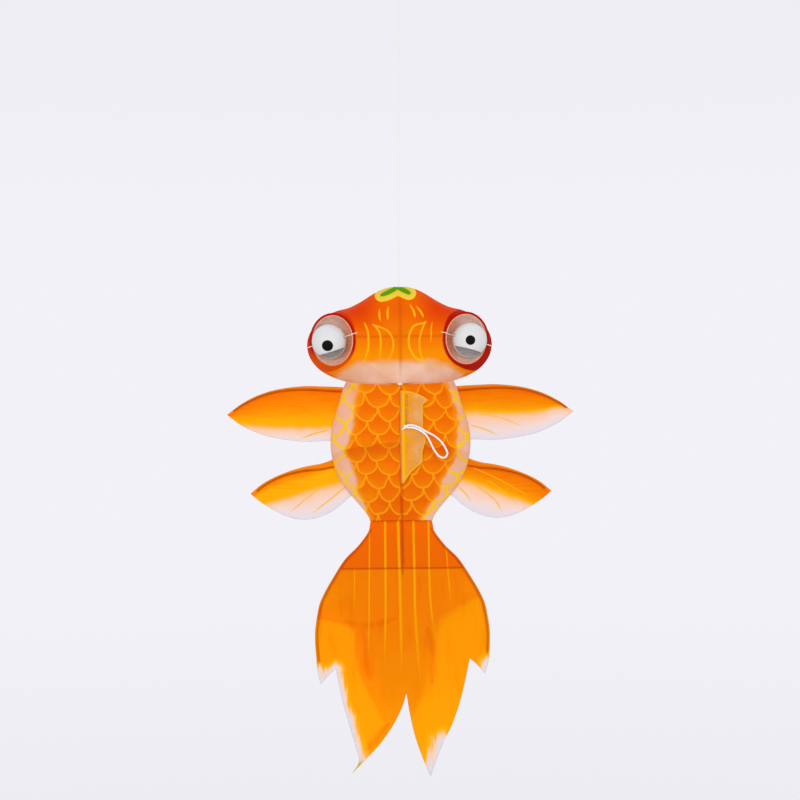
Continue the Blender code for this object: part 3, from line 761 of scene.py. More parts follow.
def tail_paint(name):
    """The tail: deep orange at the top, amber towards pale feathered tips, with yellow ribs."""
    p = Paint(name)
    mottle = p.cloud(46, detail=3.0)
    streak = p.cloud(9, (1, 1, 6), 3.0, 4.0)
    fine = p.cloud(2.4, (1, 1, 9), 2.0, 8.0)
    high = p.z + (mottle - 0.5) * 60
    p.base((255, 180, 4), (254, 170, 4), high.ease(-500, -400))
    blur = p.x.ease(-20, 40, 0.0, 9.0)
    # Painted shade: darker where the second layer of silk lies behind and less light comes through.
    layered = (p.number("layered") + (mottle - 0.5) * 14).ease(blur * -0.5 - 2.0, blur + 3.0)
    double = p.over((253, 158, 3), (251, 142, 3), high.ease(-470, -350))
    sides = abs(p.x).ease(30, 78) * p.z.ease(-318, -350)
    double = p.over(double, (253, 158, 3), sides * mottle.ease(0.3, 0.6) * 0.7)
    p.coat(double, layered * p.z.ease(-540, -440, 0.35, 1.0))
    # Painted shade: darker streaks down and across the middle of the tail.
    p.coat((243, 106, 2), p.wash("smudge") * streak.ease(0.2, 0.6) * 0.5)
    p.coat((248, 116, 2), p.z.ease(BAR_Z - 1.0, BAR_Z + 1.0) * 0.85)
    p.coat((240, 104, 1), streak.ease(0.5, 0.75) * high.ease(-540, -360) * 0.3)
    p.coat((255, 190, 10), p.stroke("ribs", 0.4) * p.z.ease(-470, -330, 0.5, 0.9))
    p.coat((196, 60, 0), p.wash("shade", 1.2) * 0.65)
    fade = p.number("fade")
    feather = fade + ((streak - 0.5) * 0.9 + (fine - 0.5) * 0.7) * fade.ease(0.0, 0.3)
    p.coat((255, 196, 20), feather.ease(0.0, 0.4) * 0.8)
    p.coat((252, 222, 190), feather.ease(0.34, 0.66))
    p.coat((234, 230, 236), feather.ease(0.55, 0.95))
    tip = p.z.ease(-540, -547) * p.x.ease(-20, -36)
    p.coat((226, 190, 70), tip)
    return p.silk()


def bamboo_paint():
    """Split bamboo: fine dark fibres along the strip and a slight gloss."""
    p = Paint("split_bamboo")
    p.use_own_place()
    fibre = p.cloud(0.8, (1, 1, 14), 4.0)
    patch = p.cloud(25, detail=2.0)
    p.base((176, 128, 66), (214, 172, 104), fibre.ease(0.35, 0.65))
    p.coat((150, 98, 44), patch.ease(0.5, 0.8) * 0.6)
    return p.close(p.shader(fibre.ease(0.3, 0.7, 0.4, 0.62), 0.4, p.bump(fibre, 0.4, 0.1)))


def thread_paint(name, colour, size=0.5):
    """Twisted cotton, with a little fluff."""
    p = Paint(name)
    p.use_own_place()
    ply = p.cloud(size)
    p.base(colour, (200, 194, 188), ply.ease(0.55, 0.8) * 0.5)
    return p.close(p.shader(0.85, 0.2, p.bump(ply, 0.5, 0.1), 0.2))


def plastic_paint(name, colour, worn, specular):
    """Thin moulded plastic with a faintly uneven gloss."""
    p = Paint(name)
    scuff = p.cloud(3.0, detail=4.0)
    p.base(colour, worn, scuff.ease(0.6, 0.85) * 0.2)
    return p.close(p.shader(scuff.ease(0.3, 0.8, 0.5, 0.7), specular, p.bump(scuff, 0.08)))


# ---------------------------------------------------------------- head


def throat_forward(x, z):
    """How far the head's outline comes forward: nothing at the lobes, most at mid throat."""
    depth = THROAT_DEPTH * (1 - (x / THROAT_HALF_WIDTH) ** 2)
    return np.where((z > THROAT_TOP_Z) | (np.abs(x) > THROAT_HALF_WIDTH), 0.0, depth)


def throat_edge(x, z):
    """How far the front silk's edge comes forward, with a peak where it meets the ridge."""
    peak = np.where(z > THROAT_TOP_Z, 0.0, RIDGE_PEAK * (1 - ease(np.abs(x), 0, 14)))
    return throat_forward(x, z) + EDGE_STANDOFF + peak


def hoop_point(side, angle, grow, forward=0.0):
    """Points on the eye hoop's oval, grown outwards and moved the way the eye faces."""
    yaw = math.radians(EYE_YAW)
    across = np.array((math.cos(yaw), side * math.sin(yaw), 0))
    facing = np.array((side * math.sin(yaw), -math.cos(yaw), 0))
    centre = np.array((side * EYE_CENTRE[0], EYE_CENTRE[1], EYE_CENTRE[2]))
    angle = np.atleast_1d(angle)
    wide = (EYE_HALF_WIDTH + grow) * np.cos(angle)
    high = (EYE_HALF_HEIGHT + grow) * np.sin(angle)
    return centre + wide[:, None] * across + high[:, None] * (0, 0, 1) + facing * forward


def hoop_middle(side, forward=0.0):
    """The middle of an eye hoop, moved the way the eye faces."""
    return hoop_point(side, 0.0, -EYE_HALF_WIDTH, forward)[0]


def half_head_boundary(front):
    """The closed edge of half the head: its outline, then the midline back up to the nose."""
    edge = spaced(HEAD_OUTLINE, EDGE_GRAIN)
    x, z = edge.T
    y, midline = EDGE_STANDOFF - throat_forward(x, z), HEAD_BACK
    if front:
        y, midline = -throat_edge(x, z), RIDGE
    y[0], y[-1] = at(midline, z[0]), at(midline, z[-1])
    rise = np.linspace(z[-1], z[0], 52)[1:-1]
    spine = np.stack([np.zeros(len(rise)), at(midline, rise), rise], axis=1)
    return np.vstack([np.stack([x, y, z], axis=1), spine])


def over_spar(grid):
    """The greatest depth each point may have, so that the silk passes in front of the cross spar."""
    spar = frame["nodes"]["head_cross_spar"]
    corners = np.array([spar.matrix_world @ Vector(corner) for corner in spar.bound_box]) / MM
    low, high = corners.min(0), corners.max(0)
    away = np.maximum(np.abs(grid[..., 2] - (low[2] + high[2]) / 2), np.abs(grid[..., 0]) - high[0])
    return np.where(away < SPAR_CLEARANCE, low[1] - SILK, 1e3)


def taut(grid, rounds):
    """The depths of a ring-shaped grid, pulled taut between its first and last rows like cloth."""

    def beside(values):
        return np.roll(values, 1, 1)[1:-1], np.roll(values, -1, 1)[1:-1], values[:-2], values[2:]

    limit = over_spar(grid)[1:-1]
    depth = grid[..., 1].copy()
    flat = grid[..., [0, 2]]
    lengths = [np.maximum(np.linalg.norm(flat[1:-1] - other, axis=2), 0.2) for other in beside(flat)]
    left, right, up, down = lengths
    tall, broad = (up + down) / 2, (left + right) / 2
    pulls = [tall / left, tall / right, broad / up, broad / down]
    for _ in range(rounds):
        eased = sum(pull * other for pull, other in zip(pulls, beside(depth))) / sum(pulls)
        depth[1:-1] = np.minimum(eased, limit)
    return depth


def wrinkled(rows, size, height, seed):
    """Small folds in a grid of points, fading out towards its first and last rows."""
    count = len(rows)
    fade = np.sin(np.pi * np.arange(count) / (count - 1))[:, None]
    lift = ripple(rows.reshape(-1, 3), size, height, seed).reshape(rows.shape[:2])
    rows[..., 1] += lift * fade
    return rows


# Strokes that touch or nearly touch are kept in different lists.
HEAD_STROKES = [
    ([(-22.6, -27), (-22.4, -32), (-22.0, -37)], 1.1, (0.5, 0.8)),
    ([(13.0, -22), (16.6, -28), (17.8, -33.5)], 1.2, (0.7, 1)),
    ([(-38.6, -43), (-35.5, -52), (-35.2, -69), (-39.2, -83)], 1.0, (0.9, 0.5)),
    ([(-28.6, -44), (-14, -50), (-7.6, -60), (-7.4, -72), (-13.2, -84)], 0.9, (1, 0.3)),
    ([(29, -42), (17, -45), (11.2, -56), (11.2, -69), (17.8, -81), (27, -84.5)], 1.1, (1, 1)),
]
HEAD_STROKES_BETWEEN = [
    ([(-12.4, -24), (-13.0, -29.5), (-13.0, -35)], 1.2, (0.4, 1)),
    ([(20.0, -23), (24.0, -28), (27.0, -33.5)], 1.1, (0.4, 1)),
    ([(-28.6, -44), (-22.6, -52), (-21, -63), (-22.4, -82)], 0.9, (1, 0.3)),
    ([(29, -42), (24.6, -53), (22.6, -63), (23.4, -75), (27, -84.5)], 0.9, (1, 1)),
    ([(37, -42), (36, -52), (35.6, -63)], 0.7, (0.5, 0.3)),
]
LEAVES = [
    ([(-19.5, -9.0), (-11, -5.2), (-2.6, -0.4)], 2.6, (0.7, 0.8)),
    ([(1.8, -1.6), (6.5, -3.9), (11.4, -6.8)], 2.6, (0.9, 0.8)),
]
HEAD_SHADE = [
    ([(1.2, -14), (1.2, -60), (1.0, -109)], 3.4, (1, 0.5)),
    ([(-47, -57), (0, -57), (47, -57)], 2.8, (1, 1)),
]


def head_edge_line(points):
    """The thin darker line where the silk turns round the head's rib."""
    outline = smooth(HEAD_OUTLINE[2:-3], 2)
    return brush(points, [(outline * (side, 1), 3.0, (1, 1)) for side, _ in reversed(HANDS)])


HEAD_FIELDS = {
    "strokes": HEAD_STROKES,
    "strokes_between": HEAD_STROKES_BETWEEN,
    "leaves": LEAVES,
    "shade": HEAD_SHADE,
    "edge_line": head_edge_line,
}


def head_front(paint):
    """The painted silk of the head: from the ridge and the outline up to the eye hoops and over them."""
    boundary = half_head_boundary(front=True)
    angle = np.arctan2(boundary[:, 2] - EYE_CENTRE[2], boundary[:, 0] - EYE_CENTRE[0])
    wrap = []
    for turn in np.radians(np.arange(205, 29, -25)):
        grow = HOOP_RADIUS + WRAP_RADIUS * math.cos(turn)
        wrap.append(hoop_point(1, angle, grow, WRAP_RADIUS * math.sin(turn)))
    inner = hoop_point(1, angle, HOOP_RADIUS + WRAP_RADIUS)
    shares = np.linspace(0, 1, 27)[:, None, None]
    spread = inner * (1 - shares) + boundary * shares
    spread[..., 1] = taut(spread, 500)
    grid = np.concatenate([wrap, wrinkled(spread, 17, 0.9, 1.3)])
    verts, faces = mirrored(grid.reshape(-1, 3), grid_faces(*grid.shape[:2], ring=True))
    finished(
        "head_back_cover", verts, faces, paint, FISH, ("head_back_silk",), "head_silk",
        HEAD_FIELDS, SILK, weld=True,
    )


def head_belly(paint):
    """The plain silk behind the head, bulging over each eye socket."""
    boundary = half_head_boundary(front=False)
    middle = np.array(BELLY_MIDDLE)
    shares = np.linspace(0.04, 1, 26)[:, None, None]
    spread = middle * (1 - shares) + boundary * shares
    spread[..., 1] = boundary[:, 1] + (middle[1] - boundary[:, 1]) * (1 - shares[..., 0] ** 2.2)
    spread = wrinkled(spread, 21, 1.6, 4.1)
    rows, across = spread.shape[:2]
    cap = [(rows * across, (j + 1) % across, j) for j in range(across)]
    points = np.vstack([spread.reshape(-1, 3), middle])
    verts, faces = mirrored(points, grid_faces(rows, across, ring=True) + cap)
    finished(
        "head_belly_cover", verts, faces, paint, FISH, ("head_belly_silk",), "pale_silk",
        None, SILK, weld=True,
    )


def head_binding(paint):
    """Silk folded round the head's ribs, and notched at the nose, where the thread passes."""
    half = spaced(HEAD_OUTLINE, EDGE_GRAIN)[1:]
    edge = np.vstack([half, (half[:-1] * (-1, 1))[::-1]])
    along = np.roll(edge, -1, 0) - np.roll(edge, 1, 0)
    along /= np.linalg.norm(along, axis=1)[:, None]
    outward = np.stack([along[:, 1], -along[:, 0]], axis=1)
    inwards = (outward * (edge - (0, EYE_CENTRE[2]))).sum(1) < 0
    outward[inwards] *= -1
    forward = throat_forward(*edge.T)
    notch = np.exp(-((edge[:, 0] / 5) ** 2)) * (edge[:, 1] > EYE_CENTRE[2])
    rows = []
    for turn in np.radians(np.linspace(-100, 100, 11)):
        x, z = (edge + outward * (0.9 * math.cos(turn) - notch)[:, None]).T
        rows.append(np.stack([x, EDGE_STANDOFF * math.sin(turn) - forward, z], axis=1))
    sheet("head_edge_binding", np.array(rows), paint, FISH, (), "head_silk", HEAD_FIELDS, ring=True)


def socket(side, word, paint):
    """The pleated silk cup behind an eye hoop."""
    rows, around = 22, 72
    angle = round_angles(around)
    ring = hoop_point(side, angle, 0.0) - hoop_middle(side)
    cup = []
    for tilt in np.linspace(0.03, 1.5, rows):
        cup.append(ring * math.cos(tilt) * 0.97 + hoop_middle(side, -SOCKET_DEPTH * math.sin(tilt)))
    grid = np.array(cup)
    pleat = 1 + 0.012 * np.sin(angle * 16)[None, :, None] * np.linspace(0, 1, rows)[:, None, None] ** 0.5
    middle = grid.mean(axis=1, keepdims=True)
    verts = (middle + (grid - middle) * pleat).reshape(-1, 3)
    faces = grid_faces(rows, around, ring=True) + [tuple(range(len(verts) - around, len(verts)))]
    if side < 0:
        faces = turned(faces)
    name = f"{word}_socket_lining"
    finished(name, verts, faces, paint, FISH, (f"{word}_socket_silk",), "socket_silk", None, SILK)


# The axle string over an eye's rim: how far out from the hoop, and how far above it.
STITCH = [(-3.0, -0.6), (-1.2, 0.6), (0.2, 2.3), (1.6, 2.9), (3.4, 2.6), (5.2, 1.6), (6.4, 0.2)]


def eye_stitches(side, word, cotton):
    """The ends of the axle string, brought over the rim and stitched into the silk."""
    axle = joint(f"{word}_eye_spin")[1]
    axle = axle if axle[0] > 0 else -axle
    middle = hoop_middle(side)
    facing = hoop_middle(side, 1.0) - middle
    for end in (-1, 1):
        place, run = ("outer", STITCH[1:]) if end * side > 0 else ("inner", STITCH)
        path = [middle + axle * end * (EYE_HALF_WIDTH + out) + facing * lift for out, lift in run]
        cord(f"{word}_{place}_string_stitch", smooth(path, 4), 0.42, 8, cotton, FISH, lobes=2, twist=0.5)


# ---------------------------------------------------------------- spinning eyes


def eye_matrix(word):
    """Places a ball whose own axes are up, forwards and along the axle."""
    pivot, axle, _ = joint(f"{word}_eye_spin")
    axle = Vector(axle if axle[0] > 0 else -axle)
    forward = Vector((0, -1, 0))
    forward = (forward - axle * forward.dot(axle)).normalized()
    turn = Matrix((forward.cross(axle), forward, axle)).transposed().to_4x4()
    return Matrix.Translation(Vector(pivot)) @ turn


def shell_points():
    """A fine half ball, less a slice below the axle, with a small hole at each pole for the string."""
    mesh = bmesh.new()
    bmesh.ops.create_uvsphere(mesh, u_segments=72, v_segments=48, radius=BALL_RADIUS)
    for point, normal in (((0, SHELL_GAP / 2, 0), (0, -1, 0)), ((-SHELL_CUT, 0, 0), (-1, 0, 0))):
        everything = mesh.verts[:] + mesh.edges[:] + mesh.faces[:]
        bmesh.ops.bisect_plane(
            mesh, geom=everything, dist=1e-4, plane_co=point, plane_no=normal, clear_outer=True,
        )
    poles = [v for v in mesh.verts if abs(v.co.z) > BALL_RADIUS * 0.9975]
    bmesh.ops.delete(mesh, geom=poles, context="VERTS")
    mesh.verts.index_update()
    verts = [v.co.copy() for v in mesh.verts]
    faces = [[v.index for v in face.verts] for face in mesh.faces]
    mesh.free()
    return verts, faces


def shell(word, part, plastic):
    """One of the two thin half balls of a spinning eye."""
    turn = math.radians(BALL_TURN[word] + (180 if part == "rear" else 0))
    matrix = eye_matrix(word) @ Matrix.Rotation(turn, 4, "Z")
    verts, faces = shell_points()
    made = finished(
        f"{word}_{part}_half_ball", [matrix @ v for v in verts], faces, plastic, f"{word}_eye",
        (f"{word}_eye_{part}_shell",), "ball_white", None, BALL_WALL,
    )
    lip = made.modifiers.new("rounded_lip", "BEVEL")
    lip.width = 0.1 * MM
    lip.segments = 2
    lip.limit_method = "ANGLE"


def pupil(word, plastic):
    """The black disc stuck on the front half ball."""
    matrix = eye_matrix(word)
    high, along = PUPIL_PLACE[word]
    depth = math.sqrt(BALL_RADIUS**2 - high**2 - along**2)
    facing = matrix.to_3x3() @ Vector((high, depth, along))
    turn = np.array(facing.to_track_quat("Z", "Y").to_matrix())
    radius = BALL_RADIUS + BALL_WALL / 2 + 0.15
    rows, around = 9, 48
    angle = round_angles(around)
    rings = []
    for tilt in math.asin(PUPIL_RADIUS[word] / radius) * np.linspace(0.08, 1, rows):
        flat = math.sin(tilt)
        level = np.full(around, math.cos(tilt))
        rings.append(np.stack([flat * np.cos(angle), flat * np.sin(angle), level], axis=1))
    verts = np.vstack(rings) @ turn.T * radius + matrix.translation
    faces = grid_faces(rows, around, ring=True) + [tuple(reversed(range(around)))]
    stands_for = (f"{word}_pupil",)
    finished(
        f"{word}_pupil_disc", verts, faces, plastic, f"{word}_eye", stands_for, "pupil_black", None, 0.25,
    )


# ---------------------------------------------------------------- body


def shoulder_z(x):
    """The height of the back silk's upper edge."""
    return SHOULDER_Z + 3.4 * (x / THROAT_HALF_WIDTH) ** 2


def belly_top(x):
    """The height of the belly silk's upper edge."""
    return BELLY_TOP_Z - BELLY_ARCH * (x / THROAT_HALF_WIDTH) ** 2


def body_grid(depth, top, bulge, count, across):
    """Points over half the body's depth, from its upper edge down to the waist."""
    shares = np.linspace(0, 1, count)[:, None]
    part = np.sin(0.5 * np.pi * np.linspace(-1, 1, across))[None]
    level = top(part * THROAT_HALF_WIDTH) * (1 - shares) + BODY_END_Z * shares
    x = part * at(BODY_WIDTH, level)
    far = at(depth, level)
    near = np.copysign(EDGE_STANDOFF, far)
    y = near + (far - near) * bulge(np.abs(part))
    return np.stack([x, y, level], axis=2)


BODY_SHADE = [([(1.0, -112), (1.0, -190), (0.6, -268)], 3.2, (0.6, 1))]
PALE_LEFT = [
    (-108, 15), (-135, 18), (-169, 22), (-186, 15), (-203, 20), (-220, 17), (-237, 9), (-252, 3),
    (-268, -3),
]
PALE_RIGHT = [
    (-108, 8), (-150, 8.5), (-169, 13), (-203, 17), (-220, 20), (-237, 15), (-255, 12), (-268, 10),
]


def bare_field(points):
    """How far outside the painted middle of the body a point lies."""
    inset = at(BODY_WIDTH, points[:, 2]) - np.abs(points[:, 0])
    width = np.where(points[:, 0] < 0, at(PALE_LEFT, points[:, 2]), at(PALE_RIGHT, points[:, 2]))
    return width - inset


BODY_FIELDS = {
    "shade": BODY_SHADE,
    "bare": bare_field,
    "belly": lambda points: belly_top(points[:, 0]) - points[:, 2],
}


def across_waist(made):
    """Bakes the placement of a sheet that ends at the waist."""
    bend(made)


def tucked(grid):
    """The depths of the body's grid, with its top drawn in behind the lower edge of the head."""
    x, y, z = np.moveaxis(grid, 2, 0)
    behind = 1.3 - throat_edge(x, np.full(x.shape, THROAT_Z))
    share = ease(shoulder_z(x) - z, 2.5, TUCK)
    return np.maximum(y, behind) * (1 - share) + y * share


def body(paint, pale):
    """The scaled back and the plain belly, with a binding down each side."""
    back = body_grid(RIDGE, shoulder_z, lambda part: (1 - part**1.6) ** 0.75, 104, 89)
    back = wrinkled(back, 19, 1.1, 2.2)
    back[..., 1] = tucked(back)
    across_waist(sheet(
        "body_back_cover", back, paint, None, ("body_back_silk",), "scale_silk", BODY_FIELDS,
    ))
    front = body_grid(BELLY_DEPTH, belly_top, lambda part: np.sqrt(np.maximum(0, 1 - part**2)), 60, 81)
    front = wrinkled(front, 23, 1.4, 6.0)
    across_waist(sheet(
        "body_belly_cover", front, pale, None, ("body_belly_silk",), "pale_silk", over=True,
    ))
    for side, word in HANDS:
        side_binding(side, word, paint)


def side_binding(side, word, paint):
    """Silk folded round a side rib of the body and glued down inside."""
    level = np.linspace(shoulder_z(THROAT_HALF_WIDTH), BODY_END_Z, 84)
    width = at(BODY_WIDTH, level)
    rows = []
    for turn in np.linspace(-95, 130, 14):
        angle = math.radians(turn)
        x = side * (width + 0.8 * math.cos(angle) - 2.5 * ease(turn, 90, 130))
        rows.append(np.stack([x, np.full(len(level), EDGE_STANDOFF * math.sin(angle)), level], axis=1))
    name = f"{word}_side_binding"
    made = sheet(name, np.array(rows), paint, None, (), "scale_silk", BODY_FIELDS, over=side < 0)
    across_waist(made)


# ---------------------------------------------------------------- side fins


FINS = {
    "upper": (UPPER_LEADING, UPPER_TRAILING, UPPER_SPAR),
    "lower": (LOWER_LEADING, LOWER_TRAILING, LOWER_SPAR),
}
FIN_STROKES = {
    "left_upper": [([(-84, -163), (-97, -166), (-113, -171.6)], 0.9, (1, 0.3))],
    "right_upper": [
        ([(93, -146), (115, -150.5), (139, -160)], 0.6, (1, 0.3)),
        ([(82, -159), (95, -163), (112, -170)], 0.7, (1, 0.3)),
    ],
    "left_lower": [
        ([(-86, -224), (-107, -240), (-128, -257)], 0.7, (0.8, 0.3)),
        ([(-65, -229), (-82, -243), (-101, -257)], 0.8, (1, 0.3)),
    ],
    "right_lower": [
        ([(81.5, -225), (106, -243), (115.5, -257)], 0.8, (0.8, 0.4)),
        ([(68, -231.5), (74, -237), (79.5, -245)], 0.8, (1, 0.4)),
        ([(84, -208), (112, -221), (144.7, -239.5)], 0.6, (0.8, 0.3)),
        ([(101, -223), (120, -237), (133.6, -250)], 0.7, (0.8, 0.4)),
    ],
}
COLOUR_ENDS = 0.6  # the share of a fin's chord field where its colour ends
RIGHT_FIN_SHADE = 0.22  # painted shade: how much darker the right-hand fins are, on the side away from the light
AMBER_SOON = {"left_lower": 0.55}
FIN_BORDER = {
    "left_upper": [(60, -158.5), (95, -160), (130, -159.5), (160, -158), (183, -155.5), (200, -150)],
    "right_upper": [
        (60, -143), (95, -145), (130, -146), (160, -143.5), (180, -139), (194, -139.5), (204, -146),
    ],
    "left_lower": [(50, -219), (72, -223.5), (95, -229), (120, -237), (145, -244), (165, -249)],
    "right_lower": [(50, -215), (72, -222), (95, -229.5), (120, -240), (145, -248), (165, -254)],
}


def towards_body(leading, trailing):
    """The direction from a fin's root in to the body."""
    root = np.array(leading[0], float) - np.array(trailing[0], float)
    inward = np.array((-root[1], root[0])) / np.linalg.norm(root)
    return -inward if inward[0] > 0 else inward


def chord_field(leading, trailing, border):
    """0 at a fin's leading edge, COLOUR_ENDS where its colour ends, and 1 well inside the pale part."""
    lead, trail, line = smooth(leading, 8), smooth(trailing, 8), smooth(border, 6)

    def share(points):
        x, z = np.abs(points[:, 0]), points[:, 2]
        top = np.interp(x, lead[:, 0], lead[:, 1])
        low = np.interp(x, trail[:, 0], trail[:, 1])
        end = np.interp(x, line[:, 0], line[:, 1])
        coloured = COLOUR_ENDS * (top - z) / np.maximum(top - end, 4.0)
        pale = COLOUR_ENDS + (1 - COLOUR_ENDS) * (end - z) / np.maximum(end - low, 18.0)
        return np.clip(np.where(z > end, coloured, pale), 0, 1)

    return share


def fin(side, word, leading, trailing, spar):
    """One silk fin, whose root reaches in to the side of the body."""
    inward = towards_body(leading, trailing)
    lead, trail = ([tuple(path[0] + inward * FIN_REACH)] + path for path in (leading, trailing))
    outline = np.vstack([spaced(lead), spaced(trail)[-2::-1]]) * (side, 1)
    root = spaced([tuple(outline[-1]), tuple(outline[0])])[1:-1]
    outline = np.vstack([outline, root])[::side]
    along = np.array(spar[0], float) - np.array(spar[1], float)
    tuck = tuple(np.array(spar[0]) + along / np.linalg.norm(along) * SPAR_TUCK)
    spar_line = np.array([tuck] + spar) * (side, 1)
    root_x, root_z = leading[0]
    span = leading[-1][0] - root_x

    def lift(x, z):
        out = np.clip((np.abs(x) - root_x) / span, 0, 1)
        points = np.stack([x, np.zeros(len(x)), z * 0.6], axis=1)
        return ripple(points, 24, 1.7, side * 3.0 + root_z) * ease(out, 0, 0.3) - 0.5 * out

    fields = {
        "chord": chord_field(leading, trailing, FIN_BORDER[word]),
        "strokes": FIN_STROKES[word],
        "shade": [(spar_line, 2.6, (1, 1))],
        "hem": [(np.array(leading) * (side, 1), 3.4, (1, 1))],
    }
    paint = fin_paint(f"{word}_fin_paint", AMBER_SOON.get(word, 1.0), RIGHT_FIN_SHADE if side > 0 else 0.0)
    made = panel(
        f"{word}_fin_web", outline, paint, None, lift, stands_for=(f"{word}_fin_silk",),
        slot="fin_silk", fields=fields,
    )
    inward = np.array((side * inward[0], 0, inward[1]))
    bend(made)


# ---------------------------------------------------------------- back fin and bridle


def on_dorsal(distance, z, lift=0.0):
    """A point over the folded back fin: along it from the hinge, its height, and above it."""
    lean = math.radians(DORSAL_LEAN)
    x = DORSAL_HINGE[0] + distance * math.cos(lean) + lift * math.sin(lean)
    y = DORSAL_HINGE[1] + distance * math.sin(lean) - lift * math.cos(lean)
    return (x, y, z)


def dorsal_strokes():
    """The brush fields of the back fin: its outline, the hatching by its base, and two rows of stitches."""
    outline = [on_dorsal(d, z) for d, z in DORSAL_OUTER]
    border = [([(a[0], a[2]), (b[0], b[2])], 1.9, (1, 1)) for a, b in zip(outline, outline[1:])]
    border.append(([(3.4, -119), (3.4, -170), (3.4, -222)], 2.2, (1, 1)))
    hatch = []
    for number, z in enumerate(np.arange(-120, -208, -4.6)):
        far = 14 + 5 * math.sin(2.3 * number)
        hatch.append(([(4.0, z), (far * 0.6, z - 2.6), (far, z - 6.5)], 0.9, (1, 0.2)))
    stitches = []
    for z in np.arange(-123, -162, -2.6):
        stitches.append(([(6.2, z), (6.4, z - 1.0)], 0.22, (1, 1)))
        stitches.append(([(8.6, z - 1.2), (8.8, z - 2.2)], 0.22, (1, 1)))
    return {"outline": border, "hatch": hatch, "stitches": stitches}


def dorsal_fin(paint):
    """The silk fin sewn along the ridge, lying folded to the right."""
    edge = smooth(DORSAL_OUTER, 1)
    levels = np.linspace(DORSAL_OUTER[0][1] - 0.2, DORSAL_OUTER[-1][1] + 0.2, 66)
    rows = []
    for z, far in zip(levels, np.interp(-levels, -edge[:, 1], edge[:, 0])):
        seam = np.array((0.0, float(at(RIDGE, z)) - 0.5, z))
        base = np.array(on_dorsal(0.0, z))
        row = [seam + (base - seam) * t for t in (0, 0.34, 0.67)]
        for t in np.linspace(0, 1, 18):
            row.append(np.array(on_dorsal(far * t, z, 0.8 * math.sin(math.pi * t) * min(1, far / 20))))
        rows.append(row)
    made = sheet(
        "dorsal_fin_web", np.array(rows), paint, None, ("dorsal_fin_silk",), "scale_silk", dorsal_strokes(),
    )
    bend(made)


def bridle(cotton):
    """A doubled cord with a small overhand knot, opening into a loop."""
    path = [on_dorsal(d, z, BRIDLE_LIFT) for d, z in smooth(BRIDLE_PATH, 5)]
    cord("bridle_cord", path, 1.05, 12, cotton, "bridle", ("bridle_loop",), twist=0.2)
    t = round_angles(60)
    knot = [np.sin(t) + 2 * np.sin(2 * t), -1.4 * np.sin(3 * t), np.cos(t) - 2 * np.cos(2 * t)]
    knot = np.array(on_dorsal(*BRIDLE_KNOT, BRIDLE_LIFT + 0.4)) + np.stack(knot, axis=1) * 0.5
    cord("bridle_overhand_knot", knot, 0.85, 10, cotton, "bridle", ("bridle_knot",), closed=True)
    end = [on_dorsal(3.0, -159.6, 3.2), on_dorsal(1.2, -161.0, 3.7), on_dorsal(-1.0, -162.4, 3.7)]
    cord("bridle_cord_end", smooth(end, 5), 0.8, 10, cotton, "bridle")


# ---------------------------------------------------------------- tail


TAIL_RIBS = [
    ([(-36.6, -281), (-37.6, -340), (-38.4, -392), (-39, -420)], 0.75, (0.8, 0.1)),
    ([(-18.6, -267), (-18.8, -340), (-19.2, -377), (-21, -434)], 1.2, (1, 0.1)),
    ([(-3.8, -267), (-2.2, -354), (-1.2, -440)], 1.5, (1, 0.1)),
    ([(13.8, -267), (14.6, -330), (15.2, -382), (20.5, -463)], 1.3, (1, 0.1)),
    ([(31.2, -270), (31.6, -330), (33, -365), (36, -392)], 1.0, (1, 0.1)),
    ([(51, -296), (53, -325), (56, -360)], 0.6, (0.8, 0.1)),
    ([(-54, -322), (-54.6, -340), (-55, -365)], 0.5, (0.5, 0.1)),
    ([(22, -486), (27, -508), (32, -531)], 0.6, (0.3, 0.3)),
    ([(-54, -486), (-56, -500), (-58, -512)], 0.6, (0.3, 0.3)),
]


def tail_outline():
    """The whole tail's edge: the panel, a short lobe each side and a long lobe each side of the slit."""
    half = {}
    for side in (-1, 1):
        parts = [spaced(TAIL_EDGE), spaced([TAIL_EDGE[-1]] + SHORT_LOBE_OUT[side])[1:]]
        parts += [spaced(SHORT_LOBE_IN[side])[1:]]
        parts += [spaced(LONG_LOBE_OUT[side])[1:], spaced(LONG_LOBE_IN[side])[1:]]
        half[side] = np.vstack(parts) * (side, 1)
    top = spaced([tuple(half[-1][0]), tuple(half[1][0])])[1:-1]
    return np.vstack([half[1], half[-1][-2::-1], top])


def tail_shade(points):
    """Dark see-through lines: the two ribs, the centre stick and the cross bar."""
    rib = [(x - 2.6, z) for x, z in smooth(TAIL_EDGE[1:] + [(98.6, -437)], 2) if z < -275]
    lines = [(rib, 2.8, (0.5, 1)), ([(-x, z) for x, z in rib], 2.8, (0.5, 1))]
    lines.append(([(-70, BAR_Z), (0, BAR_Z), (70, BAR_Z)], 2.2, (1, 1)))
    lines.append(([(1.0, -270), (1.0, -300), (1.0, -332)], 3.4, (1, 0.3)))
    return brush(points, lines)


FEATHERED = [  # a line at the tail's edge, and how far in from it the paint feathers out
    ([(-77, -440), (-70, -473), (-63.5, -497)], 12),
    ([(-63.5, -497), (-56, -524), (-50, -545)], 16),
    ([(30.5, -562), (37, -548), (46, -525)], 25),
    ([(94, -444.5), (98, -434)], 16),
    ([(-94, -455), (-98, -444)], 17),
    ([(-94, -455), (-84, -444), (-77, -438)], 14),
]


def tail_fade(points):
    """How far the paint has feathered out: 0 in the cloth, 1 at the pale tips and outer edges."""
    shares = [1 - brush(points, [(line, 0.0, (1, 1))])[:, 1] / reach for line, reach in FEATHERED]
    return np.maximum(0, np.max(shares, axis=0))
